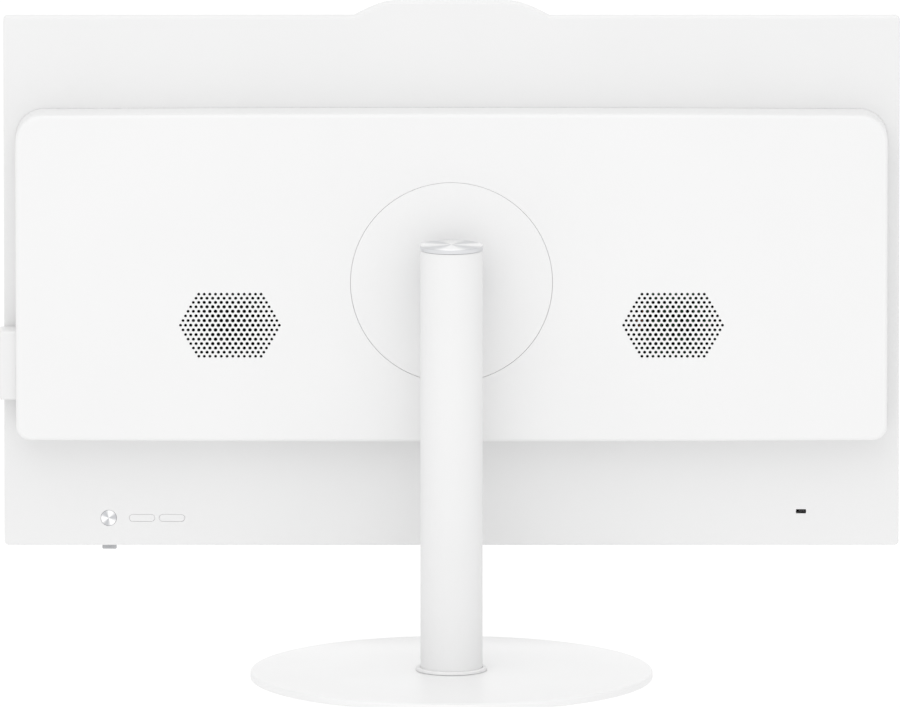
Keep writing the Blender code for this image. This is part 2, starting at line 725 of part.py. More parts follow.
def key(name, x):
    """A pill-shaped key with a flange all round behind the cover."""
    head = pill_prism(name, x, KEY_LENGTH, KEY_HEIGHT, BUTTON_STOP + BUTTON_FLANGE / 2, PANEL_BACK + 0.0001, 0.0003)
    lip = 0.002
    flange = pill_prism(
        f"{name}_flange", x, KEY_LENGTH + lip, KEY_HEIGHT + lip, BUTTON_STOP, BUTTON_STOP + BUTTON_FLANGE
    )
    finish(fuse(head, flange), WHITE)


def button_board():
    front = BUTTON_BOARD_BACK - 0.0012
    left, right = KEYS[-1] - 0.0165, POWER_X + 0.0135
    board = block("button_board", (left, front, CONTROLS_Z - 0.007), (right, BUTTON_BOARD_BACK, CONTROLS_Z + 0.007))
    switches = [
        block(
            f"switch_{number}",
            (x - 0.002, BUTTON_BOARD_BACK - 0.0005, CONTROLS_Z - 0.002),
            (x + 0.002, SWITCH_TOP, CONTROLS_Z + 0.002),
        )
        for number, x in enumerate((POWER_X, *KEYS))
    ]
    finish(fuse(board, *switches), BOARD_GREEN)


CAMERA_LOW = DISPLAY_TOP - 0.0015
CAMERA_HIGH = DISPLAY_TOP + HUMP_HEIGHT - COVER_WALL
CAMERA_Z = CAMERA_LOW + 0.004
FRAME_WALL = 0.0022
CAMERA_WALL = PANEL_FRONT + FRAME_WALL
BLADE_THICKNESS = 0.0006
TAB_X = -0.010
TAB_HALF = 0.0025
TAB_Z = CAMERA_Z + 0.0037


def front_frame():
    """The bezel around the glass, hollow behind its chin and behind the camera hump."""
    frame = prism("front_frame", display_outline(), PANEL_FRONT, FRAME_BACK)
    half = DISPLAY_HALF - SIDE_BEZEL
    opening = block("glass_opening", (-half, PANEL_FRONT - OVER, CHIN_TOP), (half, FRAME_BACK + OVER, GLASS_TOP))
    chin = block(
        "chin_hollow",
        (-half, CAMERA_WALL, DISPLAY_BOTTOM + FRAME_WALL),
        (half, FRAME_BACK + OVER, CHIN_TOP - FRAME_WALL),
    )
    camera = block(
        "camera_hollow",
        (-HUMP_HALF_TOP, CAMERA_WALL, CAMERA_LOW),
        (HUMP_HALF_TOP, FRAME_BACK + OVER, CAMERA_HIGH),
    )
    hole = rod("camera_hole", 0.0022, (0, PANEL_FRONT - OVER, CAMERA_Z), (0, CAMERA_WALL + OVER, CAMERA_Z))
    slot = block(
        "shutter_slot",
        (TAB_X - TAB_HALF - FIT, PANEL_FRONT - OVER, TAB_Z - 0.001),
        (TAB_X + TAB_HALF + FIT + SHUTTER_TRAVEL, CAMERA_WALL + OVER, TAB_Z + 0.001),
    )
    finish(cut(frame, opening, chin, camera, hole, slot), WHITE)


def camera():
    """The camera behind its hole, and the privacy blade that slides over it."""
    blade_back = CAMERA_WALL + FIT + BLADE_THICKNESS
    module_front = blade_back + FIT
    module = block(
        "camera_module",
        (-0.011, module_front, CAMERA_LOW + FIT),
        (0.011, module_front + 0.0046, CAMERA_HIGH - FIT),
    )
    finish(bevel(module, 0.0004, 1), DARK)
    blade_half = 0.007
    blade = block(
        "camera_shutter",
        (TAB_X - blade_half, CAMERA_WALL + FIT, CAMERA_LOW + 2 * FIT),
        (TAB_X + blade_half, blade_back, CAMERA_HIGH - 2 * FIT),
    )
    tab = block(
        "shutter_tab",
        (TAB_X - TAB_HALF, PANEL_FRONT + FIT, TAB_Z - 0.0007),
        (TAB_X + TAB_HALF, blade_back - FIT, TAB_Z + 0.0007),
    )
    finish(fuse(blade, tab), DARK)


def screen():
    """The glass and liquid-crystal cell, the light guide behind it, and the tray that holds the guide."""
    half = DISPLAY_HALF - SIDE_BEZEL - FIT
    back = GLASS_FRONT + PANEL_THICKNESS
    panel = block("lcd_panel", (-half, GLASS_FRONT, CHIN_TOP + FIT), (half, back, GLASS_TOP - FIT))
    finish(panel, BLACK_GLASS)
    tray_half = half - TRAY_MARGIN
    low, high = CHIN_TOP + TRAY_MARGIN, GLASS_TOP - TRAY_MARGIN
    tray = block("backlight_tray", (-tray_half, GUIDE_FRONT, low), (tray_half, TRAY_BACK, high))
    hollow = block(
        "tray_hollow",
        (TRAY_WALL - tray_half, GUIDE_FRONT - OVER, low + TRAY_WALL),
        (tray_half - TRAY_WALL, TRAY_FLOOR, high - TRAY_WALL),
    )
    finish(cut(tray, hollow), STEEL)
    guide_half = tray_half - TRAY_WALL - FIT
    edge = TRAY_WALL + FIT
    guide = block(
        "light_guide", (-guide_half, GUIDE_FRONT, low + edge), (guide_half, TRAY_FLOOR - FIT, high - edge)
    )
    finish(guide, CLEAR)


BOARD_RIGHT = -BOARD_FROM_HUB
BOARD_LEFT = BOARD_RIGHT - BOARD_WIDTH
BOARD_BOTTOM = HOUSING_FLOOR + 0.0063
BOARD_TOP = BOARD_BOTTOM + BOARD_HEIGHT
FAN_FRONT = HOUSING_BACK - HOUSING_WALL - 0.0133 - FAN_THICKNESS


def chassis(screw_holes):
    """The stamped plate on the tray's back, with a standoff under everything that the plate carries."""
    margin = 0.013
    plate = block(
        "chassis_plate",
        (margin - HOUSING_HALF, CHASSIS_FRONT, HOUSING_BOTTOM + margin),
        (HOUSING_HALF - margin, CHASSIS_BACK, HOUSING_TOP - margin),
    )
    inset = 0.006
    spots = [
        (x, z, BOARD_FRONT - FIT)
        for x in (BOARD_LEFT + inset, BOARD_RIGHT - inset)
        for z in (BOARD_BOTTOM + inset, BOARD_TOP - inset)
    ]
    reach = FAN_SIDE / 2 - inset
    spots += [(VENT_OFFSET + x, FAN_Z + z, FAN_FRONT - FIT) for x in (reach, -reach) for z in (reach, -reach)]
    sink_x = SINK_WIDTH / 2 - inset
    spots += [(VENT_OFFSET + x, SINK_TOP - inset, SINK_FRONT - FIT) for x in (sink_x, -sink_x)]
    standoffs = [
        rod(f"standoff_{number}", 0.003, (x, CHASSIS_BACK - CHASSIS_THICKNESS / 2, z), (x, back, z), 12)
        for number, (x, z, back) in enumerate(spots)
    ]
    cut(fuse(plate, joined("standoffs", standoffs)), screw_holes)
    finish(plate, STEEL)


SINK_FRONT = PANEL_BACK + FIT
SINK_BACK = SINK_FRONT + 0.018


def main_board():
    """The printed circuit board, and the modules that lie on it."""
    board = block("main_board", (BOARD_LEFT, BOARD_FRONT, BOARD_BOTTOM), (BOARD_RIGHT, BOARD_BACK, BOARD_TOP))
    finish(board, BOARD_GREEN)
    surface = BOARD_BACK + FIT

    def module(name, left, bottom, width, height, thickness, look):
        low = (BOARD_LEFT + left, surface, BOARD_BOTTOM + bottom)
        high = (BOARD_LEFT + left + width, surface + thickness, BOARD_BOTTOM + bottom + height)
        finish(bevel(block(name, low, high), 0.0004, 1), look)

    module("memory_module_1", 0.010, 0.118, 0.0676, 0.030, 0.0040, BOARD_GREEN)
    module("memory_module_2", 0.010, 0.152, 0.0676, 0.030, 0.0040, BOARD_GREEN)
    module("solid_state_drive", 0.082, 0.160, 0.080, 0.022, 0.0035, DARK)
    module("wireless_card", 0.130, 0.118, 0.030, 0.022, 0.0030, STEEL)
    cell_x, cell_z = BOARD_LEFT + 0.100, BOARD_BOTTOM + 0.130
    cell = rod("clock_cell", 0.010, (cell_x, surface, cell_z), (cell_x, surface + 0.0045, cell_z))
    finish(cell, STEEL)


PROCESSOR_X = BOARD_LEFT + 0.120
PROCESSOR_Z = BOARD_BOTTOM + 0.062
PROCESSOR_HALF = 0.020
PLATE_BACK = BOARD_BACK + FIT + 0.0024
PIPE_Z = SINK_TOP + FIT + PIPE_R


def cooling():
    """The plate on the processor, the heat pipe to the finned sink, and the blower above the sink."""
    plate = block(
        "processor_plate",
        (PROCESSOR_X - PROCESSOR_HALF, BOARD_BACK + FIT, PROCESSOR_Z - PROCESSOR_HALF),
        (PROCESSOR_X + PROCESSOR_HALF, PLATE_BACK, PROCESSOR_Z + PROCESSOR_HALF),
    )
    finish(bevel(plate, 0.0005, 1), COPPER)

    depth = PLATE_BACK + FIT + PIPE_R
    curve = bpy.data.curves.new("heat_pipe", "CURVE")
    curve.dimensions = "3D"
    curve.bevel_depth = PIPE_R
    curve.bevel_resolution = 2
    curve.use_fill_caps = True
    curve.resolution_u = 8
    route = [
        (PROCESSOR_X - PROCESSOR_HALF + 0.004, PROCESSOR_Z),
        (PROCESSOR_X + PROCESSOR_HALF + 0.006, PROCESSOR_Z),
        (-0.030, PIPE_Z),
        (VENT_OFFSET + SINK_WIDTH / 2 - 0.003, PIPE_Z),
    ]
    handle = 0.018
    spline = curve.splines.new("BEZIER")
    spline.bezier_points.add(len(route) - 1)
    for point, (x, z) in zip(spline.bezier_points, route):
        point.co = (x, depth, z)
        point.handle_left = (x - handle, depth, z)
        point.handle_right = (x + handle, depth, z)
    paint(add_object("heat_pipe", curve), COPPER)

    left, right = VENT_OFFSET - SINK_WIDTH / 2, VENT_OFFSET + SINK_WIDTH / 2
    sink = block("heat_sink", (left, SINK_FRONT, SINK_BOTTOM), (right, SINK_BACK, SINK_TOP))
    fins = 11
    pitch = SINK_WIDTH / fins
    gaps = [
        block(
            f"fin_gap_{number}",
            (left + pitch * (number + 0.3), SINK_FRONT + 0.002, SINK_BOTTOM - OVER),
            (left + pitch * (number + 1), SINK_BACK + OVER, SINK_TOP + OVER),
        )
        for number in range(fins - 1)
    ]
    finish(cut(sink, joined("fin_gaps", gaps)), ALUMINIUM)


FAN_WALL = 0.0014
ROTOR_R = 0.032


def blower():
    """The blower's case, open towards the vent and down on to the sink, with its rotor inside."""
    half = FAN_SIDE / 2
    back = FAN_FRONT + FAN_THICKNESS
    case = block(
        "fan_housing",
        (VENT_OFFSET - half, FAN_FRONT, FAN_Z - half),
        (VENT_OFFSET + half, back, FAN_Z + half),
    )
    bevel(case, 0.0015, 1)
    chamber_front, chamber_back = FAN_FRONT + FAN_WALL, back - FAN_WALL
    centre_front, centre_back = (VENT_OFFSET, chamber_front, FAN_Z), (VENT_OFFSET, chamber_back, FAN_Z)
    chamber = rod("fan_chamber", half - 2 * FAN_WALL, centre_front, centre_back, 40)
    intake = rod("fan_intake", 0.024, (VENT_OFFSET, chamber_back - OVER, FAN_Z), (VENT_OFFSET, back + OVER, FAN_Z), 32)
    outlet_half = SINK_WIDTH / 2
    outlet = block(
        "fan_outlet",
        (VENT_OFFSET - outlet_half, chamber_front + 0.0002, FAN_Z - half - OVER),
        (VENT_OFFSET + outlet_half, chamber_back - 0.0002, FAN_Z - half / 2),
    )
    finish(cut(case, chamber, intake, outlet), DARK)

    floor = chamber_front + FIT
    web = [(0, 0.0012), (ROTOR_R, 0.0012), (ROTOR_R, 0), (0, 0)]
    rotor = turned("fan_rotor", web, (VENT_OFFSET, floor, FAN_Z), "Y", 32)
    hub_r, tall = 0.012, chamber_back - FIT - floor
    pieces = [rod("rotor_hub", hub_r, (VENT_OFFSET, floor + 0.0003, FAN_Z), (VENT_OFFSET, floor + tall, FAN_Z))]
    blades = []
    count = 11
    for number in range(count):
        blade = block(f"blade_{number}", (-0.0005, 0.0006, hub_r + 0.008), (0.0005, tall - 0.0006, ROTOR_R - 0.001))
        turn = Matrix.Rotation(2 * math.pi * number / count, 4, "Y")
        lean = Matrix.Translation((0, 0, 0.024)) @ Matrix.Rotation(math.radians(35), 4, "Y")
        place = Matrix.Translation((VENT_OFFSET, floor, FAN_Z)) @ turn @ lean @ Matrix.Translation((0, 0, -0.024))
        blade.data.transform(place @ Matrix.Translation(blade.location))
        blade.location = (0, 0, 0)
        blades.append(blade)
    fuse(rotor, *pieces, joined("blades", blades))
    finish(rotor, DARK)


def speaker(name, side):
    """A sealed speaker box, standing on the housing's bottom wall over its sound slots."""
    left, right = sorted((side * SPEAKER_OUTER, side * (SPEAKER_OUTER - SPEAKER_WIDTH)))
    top = HOUSING_FLOOR + SPEAKER_HEIGHT
    made = block(name, (left, SPEAKER_BACK - SPEAKER_DEPTH, HOUSING_FLOOR), (right, SPEAKER_BACK, top))
    finish(bevel(made, 0.003), DARK)


def rear_sockets():
    """The shield plate inside the bottom wall, and a hollow socket above each of its holes."""
    low = HOUSING_FLOOR
    bottom = low + SHIELD_THICKNESS + FIT
    edge = 0.003
    shield = block(
        "port_bracket",
        (PORT_LEFT - edge, BOARD_BACK + 2 * FIT, low),
        (PORT_RIGHT + edge, BOARD_BACK + 0.018 + edge, low + SHIELD_THICKNESS),
    )
    holes = []
    for name, offset, wide, deep, length in REAR_SOCKETS:
        front = BOARD_BACK + FIT + 0.0012
        left, right = -offset - wide / 2, wide / 2 - offset
        outer = block(
            name,
            (left - SOCKET_WALL, front, bottom),
            (right + SOCKET_WALL, front + deep + 2 * SOCKET_WALL, bottom + length),
        )
        middle = front + SOCKET_WALL + deep / 2
        seat_low = (left, BOARD_BACK + FIT, bottom + length / 2)
        seat = block(f"{name}_seat", seat_low, (right, front + SOCKET_WALL / 2, bottom + length))
        fuse(outer, seat)
        hollow_top = bottom + length - SOCKET_WALL
        if name == "dc_inlet":
            hollow = rod(f"{name}_hollow", wide / 2, (-offset, middle, low - OVER), (-offset, middle, hollow_top))
            hole = rod(f"{name}_hole", wide / 2, (-offset, middle, low - OVER), (-offset, middle, bottom + OVER))
        else:
            back = middle + deep / 2
            hollow = block(f"{name}_hollow", (left, middle - deep / 2, low - OVER), (right, back, hollow_top))
            hole = block(f"{name}_hole", (left, middle - deep / 2, low - OVER), (right, back, bottom + OVER))
        holes.append(hole)
        finish(cut(outer, hollow), STEEL)
    finish(cut(shield, joined("shield_holes", holes)), STEEL)


def side_pod():
    """The port pod on the housing's side, and its three sockets."""
    pod = block(
        "side_port_pod",
        (HOUSING_HALF - POD_INSIDE, POD_FRONT, POD_LOW),
        (POD_FACE, POD_BACK, POD_HIGH),
    )
    bevel(pod, 0.0012)
    middle = (POD_FRONT + POD_BACK) / 2
    back = POD_FACE - SOCKET_DEPTH
    # name, height of its middle in the pod, opening along Y, opening along Z, how round its ends are
    sockets = (
        ("side_usb_port", 0.0385, 0.0054, 0.0128, 0),
        ("side_usb_c_port", 0.0215, 0.0026, 0.0084, 0.0012),
        ("side_audio_jack", 0.0085, 0.0035, 0.0035, 0.0017),
    )
    for name, rise, deep, tall, round_ends in sockets:
        z = POD_LOW + rise
        y_reach, z_reach = deep / 2 + SOCKET_WALL, tall / 2 + SOCKET_WALL
        pocket = block(
            f"{name}_pocket",
            (back - FIT, middle - y_reach - FIT, z - z_reach - FIT),
            (POD_FACE + OVER, middle + y_reach + FIT, z + z_reach + FIT),
        )
        cut(pod, pocket)
        socket = block(
            name,
            (back, middle - y_reach, z - z_reach),
            (POD_FACE - FIT, middle + y_reach, z + z_reach),
        )
        hollow = block(
            f"{name}_hollow",
            (back + SOCKET_WALL, middle - deep / 2, z - tall / 2),
            (POD_FACE + OVER, middle + deep / 2, z + tall / 2),
        )
        if round_ends:
            bevel(hollow, round_ends, 2)
        finish(cut(socket, hollow), STEEL)
    finish(pod, WHITE)


disc_base()
base_bolt()
column()
pin_bore = neck()
hinge_pin()
bracket_holes = tilt_bracket(pin_bore)
hub_cover()
rear_housing()
vent_grille("vent_grille_left", 1)
vent_grille("vent_grille_right", -1)
back_cover()
lock_plate()
power_button()
for key_name, key_x in zip(("brightness_up_key", "brightness_down_key"), KEYS):
    key(key_name, key_x)
button_board()
front_frame()
camera()
screen()
chassis(bracket_holes)
main_board()
cooling()
blower()
for speaker_name, speaker_side in (("speaker_left", 1), ("speaker_right", -1)):
    speaker(speaker_name, speaker_side)
rear_sockets()
side_pod()
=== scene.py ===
import math

import bmesh
import bpy
from mathutils import Matrix, Vector
from mathutils.geometry import delaunay_2d_cdt


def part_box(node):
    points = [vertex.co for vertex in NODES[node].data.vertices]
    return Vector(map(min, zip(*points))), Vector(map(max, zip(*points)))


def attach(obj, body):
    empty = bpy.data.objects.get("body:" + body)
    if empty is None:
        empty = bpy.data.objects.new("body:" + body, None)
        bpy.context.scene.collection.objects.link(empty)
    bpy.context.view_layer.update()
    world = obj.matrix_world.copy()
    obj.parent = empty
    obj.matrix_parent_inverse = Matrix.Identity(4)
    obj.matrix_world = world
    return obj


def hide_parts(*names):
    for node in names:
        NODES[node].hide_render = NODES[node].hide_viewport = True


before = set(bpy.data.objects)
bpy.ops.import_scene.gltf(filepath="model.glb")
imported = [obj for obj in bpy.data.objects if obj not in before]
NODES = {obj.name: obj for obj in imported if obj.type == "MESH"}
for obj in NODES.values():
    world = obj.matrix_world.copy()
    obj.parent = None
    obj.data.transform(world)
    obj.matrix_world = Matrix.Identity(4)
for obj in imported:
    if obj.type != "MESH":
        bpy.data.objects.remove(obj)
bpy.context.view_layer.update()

MM = 0.001

# ---- The studio ---------------------------------------------------------------------------
# A white room whose floor is one wide light table, lit softly from within. A big soft box hangs
# high behind the computer, a little towards its port side, and a weak one fills the screen side.


def linear(code):
    """An sRGB hex colour as the linear red, green, blue and opacity that a shader takes."""
    channels = [int(code[start:start + 2], 16) / 255 for start in (1, 3, 5)]
    return [v / 12.92 if v <= 0.04045 else ((v + 0.055) / 1.055) ** 2.4 for v in channels] + [1]


def add(material, kind, inputs=None, **settings):
    """Adds a node with its settings, and sets or links each of its inputs."""
    tree = material.node_tree
    node = tree.nodes.new(kind)
    for name, value in settings.items():
        setattr(node, name, value)
    for name, value in (inputs or {}).items():
        if isinstance(value, bpy.types.NodeSocket):
            tree.links.new(value, node.inputs[name])
        else:
            node.inputs[name].default_value = value
    return node


def new_material(name, colour, roughness, **inputs):
    """A material and its shader, with the values that are the same all over it."""
    made = bpy.data.materials.new(name)
    made.use_nodes = True
    shader = made.node_tree.nodes["Principled BSDF"]
    shader.inputs["Base Color"].default_value = linear(colour)
    shader.inputs["Roughness"].default_value = roughness
    for socket, value in inputs.items():
        shader.inputs[socket.replace("_", " ")].default_value = value
    return made, shader


def link(material, output, socket):
    material.node_tree.links.new(output, socket)


def new_object(name, data):
    made = bpy.data.objects.new(name, data)
    bpy.context.scene.collection.objects.link(made)
    return made


CAMERA_ELEVATION = math.radians(9.2)
CAMERA_DISTANCE = 17.15
LOOK_AT = Vector((0.00103, -0.074, 0.2143))
camera_data = bpy.data.cameras.new("studio_camera")
camera_data.lens = 1000
camera_data.sensor_width = 36
camera_data.clip_end = 200
camera = new_object("studio_camera", camera_data)
towards_camera = Vector((0, math.cos(CAMERA_ELEVATION), math.sin(CAMERA_ELEVATION)))
camera.location = LOOK_AT + CAMERA_DISTANCE * towards_camera
camera.rotation_euler = (-towards_camera).to_track_quat("-Z", "Y").to_euler()
bpy.context.scene.camera = camera
bpy.context.scene.view_settings.view_transform = "Standard"

# name, azimuth from the back of the computer towards its port side, elevation, distance, side, power
SOFT_BOXES = (
    ("soft_box_behind", 14, 48, 2.6, 2.4, 9),
    ("soft_box_in_front", 205, 34, 3.5, 2.5, 4),
)
for name, azimuth, elevation, distance, side, power in SOFT_BOXES:
    light = bpy.data.lights.new(name, "AREA")
    light.energy = power
    light.size = side
    lamp = new_object(name, light)
    turn, rise = math.radians(azimuth), math.radians(elevation)
    source = Vector((math.sin(turn) * math.cos(rise), math.cos(turn) * math.cos(rise), math.sin(rise)))
    lamp.location = LOOK_AT + distance * source
    lamp.rotation_euler = source.to_track_quat("Z", "Y").to_euler()

# The walls' light at the horizon, what the ceiling adds, and what the two end walls add.
HORIZON_LIGHT = 0.585
CEILING_LIGHT = 0.46
END_WALL_LIGHT = 0.46
room = bpy.data.worlds.new("white_room")
room.use_nodes = True
towards = add(room, "ShaderNodeTexCoord")
parts = add(room, "ShaderNodeSeparateXYZ", {"Vector": towards.outputs["Generated"]})
above = add(room, "ShaderNodeMath", {0: parts.outputs["Z"], 1: 0.0}, operation="MAXIMUM")
ceiling = add(
    room, "ShaderNodeMath", {0: above.outputs[0], 1: CEILING_LIGHT, 2: HORIZON_LIGHT},
    operation="MULTIPLY_ADD",
)
along = add(room, "ShaderNodeMath", {0: parts.outputs["Y"], 1: parts.outputs["Y"]}, operation="MULTIPLY")
walls = add(
    room, "ShaderNodeMath", {0: along.outputs[0], 1: END_WALL_LIGHT, 2: ceiling.outputs[0]},
    operation="MULTIPLY_ADD",
)
background = room.node_tree.nodes["Background"]
background.inputs["Color"].default_value = (1, 1, 1, 1)
link(room, walls.outputs[0], background.inputs["Strength"])
bpy.context.scene.world = room

# Opal acrylic with lamps under it: an even, shadowless white with no gloss.
opal_acrylic, shader = new_material(
    "lit_opal_acrylic", "#585858", 0.9,
    Specular_IOR_Level=0.1, Emission_Color=(1, 1, 1, 1), Emission_Strength=0.95,
)
floor_mesh = bpy.data.meshes.new("studio_floor")
FLOOR_HALF = 60
corners = [(x * FLOOR_HALF, y * FLOOR_HALF, 0) for x, y in ((-1, -1), (1, -1), (1, 1), (-1, 1))]
floor_mesh.from_pydata(corners, [], [(0, 1, 2, 3)])
floor_mesh.materials.append(opal_acrylic)
studio_floor = new_object("studio_floor", floor_mesh)

# ---- Disc base ----------------------------------------------------------------------------
# A 5 mm steel plate, cut round, with its top edge rounded over. It is blasted and powder-coated
# white. A rubber ring is glued into its underside, and one captive bolt holds the column.

SAME_PLACE = 0.001 * MM
CREASE_ANGLE = math.radians(32)


def object_of(name, bm):
    """A new object from a mesh, with its faces turned outwards."""
    bmesh.ops.recalc_face_normals(bm, faces=bm.faces)
    mesh = bpy.data.meshes.new(name)
    bm.to_mesh(mesh)
    bm.free()
    return new_object(name, mesh)


def arc(centre, height, radius, start, end, steps=6):
    """Points of an arc in a profile or an outline, with its angles in degrees."""
    angles = [math.radians(start + (end - start) * step / steps) for step in range(steps + 1)]
    return [(centre + radius * math.cos(a), height + radius * math.sin(a)) for a in angles]


def lathe(name, profile, place, axis="Z", steps=256):
    """A turned piece from a profile of radius and height, which closes itself off the axis."""
    bm = bmesh.new()
    points = [bm.verts.new((radius, 0, height)) for radius, height in profile]
    edges = [bm.edges.new(pair) for pair in zip(points, points[1:])]
    if profile[0][0] > 0:
        edges.append(bm.edges.new((points[-1], points[0])))
    bmesh.ops.spin(
        bm, geom=points + edges, axis=(0, 0, 1), cent=(0, 0, 0), angle=math.tau, steps=steps, use_merge=True
    )
    bmesh.ops.remove_doubles(bm, verts=bm.verts, dist=SAME_PLACE)
    made = object_of(name, bm)
    made.location = place
    if axis == "Y":
        made.rotation_euler = (-math.pi / 2, 0, 0)
    if axis == "X":
        made.rotation_euler = (0, math.pi / 2, 0)
    return made


def middle_of(node):
    low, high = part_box(node)
    return (low + high) / 2


def paint(obj, material):
    """Gives a piece its one material, and smooths its round faces up to its creases."""
    obj.data.materials.clear()
    obj.data.materials.append(material)
    obj.data.shade_smooth()
    obj.data.set_sharp_from_angle(angle=CREASE_ANGLE)


def install(obj, material, slot, body, *replaced):
    """Paints a finished piece, puts it on its body, and hides the plain solids that it stands for."""
    paint(obj, material)
    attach(obj, body)
    if replaced:
        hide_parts(*replaced)
    return obj


def powder_coat(name, darker, lighter, roughness):
    """Polyester powder coat on steel: an even white with a soft sheen and a faint orange peel. The
    peel's cells are about 1 mm in life, and are drawn at 1.6 mm so that they show. The tone drifts a
    little over 60 mm, as the spray does."""
    made, shader = new_material(name, lighter, roughness)
    place = add(made, "ShaderNodeTexCoord")
    peel = add(made, "ShaderNodeTexNoise", {"Vector": place.outputs["Object"], "Scale": 1 / (1.6 * MM)})
    cloud = add(made, "ShaderNodeTexNoise", {"Vector": place.outputs["Object"], "Scale": 1 / (60 * MM)})
    tone = add(
        made, "ShaderNodeMix",
        {"Factor": cloud.outputs["Fac"], "A": linear(darker), "B": linear(lighter)},
        data_type="RGBA",
    )
    link(made, tone.outputs["Result"], shader.inputs["Base Color"])
    bump = add(
        made, "ShaderNodeBump", {"Height": peel.outputs["Fac"], "Strength": 0.06, "Distance": 0.02 * MM}
    )
    link(made, bump.outputs["Normal"], shader.inputs["Normal"])
    return made


# The disc's coat is painted a shade lighter than the column's, though both have the same paint. This is
# painted light, for a face that looks up at the ceiling.
disc_coat_painted_lighter = powder_coat("white_powder_coat", "#ECECEC", "#F0F0F0", 0.36)

# Natural rubber, moulded: black, matt, and a little uneven from handling.
foot_rubber, shader = new_material("moulded_black_rubber", "#161616", 0.82)
place = add(foot_rubber, "ShaderNodeTexCoord")
grain = add(foot_rubber, "ShaderNodeTexNoise", {"Vector": place.outputs["Object"], "Scale": 1 / (0.8 * MM)})
bump = add(
    foot_rubber, "ShaderNodeBump", {"Height": grain.outputs["Fac"], "Strength": 0.3, "Distance": 0.05 * MM}
)
link(foot_rubber, bump.outputs["Normal"], shader.inputs["Normal"])

disc_low, disc_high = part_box("base_disc")
DISC_R = disc_high.x
DISC_ROUNDING = 1.9 * MM
DISC_UNDERCUT = 0.5 * MM
BOLT_HOLE_R = 4.3 * MM
disc_profile = [(BOLT_HOLE_R, disc_high.z)]
disc_profile += arc(DISC_R - DISC_ROUNDING, disc_high.z - DISC_ROUNDING, DISC_ROUNDING, 90, 0, 10)
disc_profile += arc(DISC_R - DISC_UNDERCUT, disc_low.z + DISC_UNDERCUT, DISC_UNDERCUT, 0, -90, 4)
disc_profile += [(BOLT_HOLE_R, disc_low.z)]
coated_disc = lathe("coated_disc", disc_profile, (0, 0, 0))
install(coated_disc, disc_coat_painted_lighter, "white_coated_steel", "stand", "base_disc")

ring_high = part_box("base_foot_ring")[1]
RING_WIDTH = 10 * MM
RING_EDGE = 0.5 * MM
ring_in = ring_high.x - RING_WIDTH
ring_profile = arc(ring_in + RING_EDGE, RING_EDGE, RING_EDGE, 180, 270, 4)
ring_profile += arc(ring_high.x - RING_EDGE, RING_EDGE, RING_EDGE, 270, 360, 4)
ring_profile += [(ring_high.x, ring_high.z), (ring_in, ring_high.z)]
foot_ring = lathe("rubber_foot_ring", ring_profile, (0, 0, 0))
install(foot_ring, foot_rubber, "foot_rubber", "stand", "base_foot_ring")

# ---- Column -------------------------------------------------------------------------------
# A steel tube with a 3 mm wall, powder-coated like the disc, which stands in a thin turned
# collar. Its top end is closed by a cap of spun aluminium, pressed into the bore.


def carve(obj, *cutters):
    """Cuts the cutters' shapes out of a piece, and removes them."""
    for cutter in cutters:
        modifier = obj.modifiers.new("cut", "BOOLEAN")
        modifier.operation = "DIFFERENCE"
        modifier.object = cutter
    graph = bpy.context.evaluated_depsgraph_get()
    mesh = bpy.data.meshes.new_from_object(obj.evaluated_get(graph))
    obj.modifiers.clear()
    obj.data = mesh
    for cutter in cutters:
        bpy.data.objects.remove(cutter)
    return obj


def slab(name, low, high, rounding=0.0, segments=3):
    """A rectangular piece between two corners, with all its edges rounded."""
    low, high = Vector(low), Vector(high)
    bm = bmesh.new()
    bmesh.ops.create_cube(bm, size=1)
    bmesh.ops.scale(bm, vec=high - low, verts=bm.verts)
    bmesh.ops.translate(bm, vec=(low + high) / 2, verts=bm.verts)
    if rounding:
        bmesh.ops.bevel(
            bm, geom=list(bm.edges), offset=rounding, segments=segments, profile=0.5, affect="EDGES"
        )
    return object_of(name, bm)


def bar(name, radius, start, end, steps=48):
    """A round bar between two points."""
    start, end = Vector(start), Vector(end)
    bm = bmesh.new()
    bmesh.ops.create_cone(
        bm, cap_ends=True, segments=steps, radius1=radius, radius2=radius, depth=(end - start).length
    )
    turned = (end - start).to_track_quat("Z", "Y").to_matrix().to_4x4()
    bmesh.ops.transform(bm, matrix=Matrix.Translation((start + end) / 2) @ turned, verts=bm.verts)
    return object_of(name, bm)


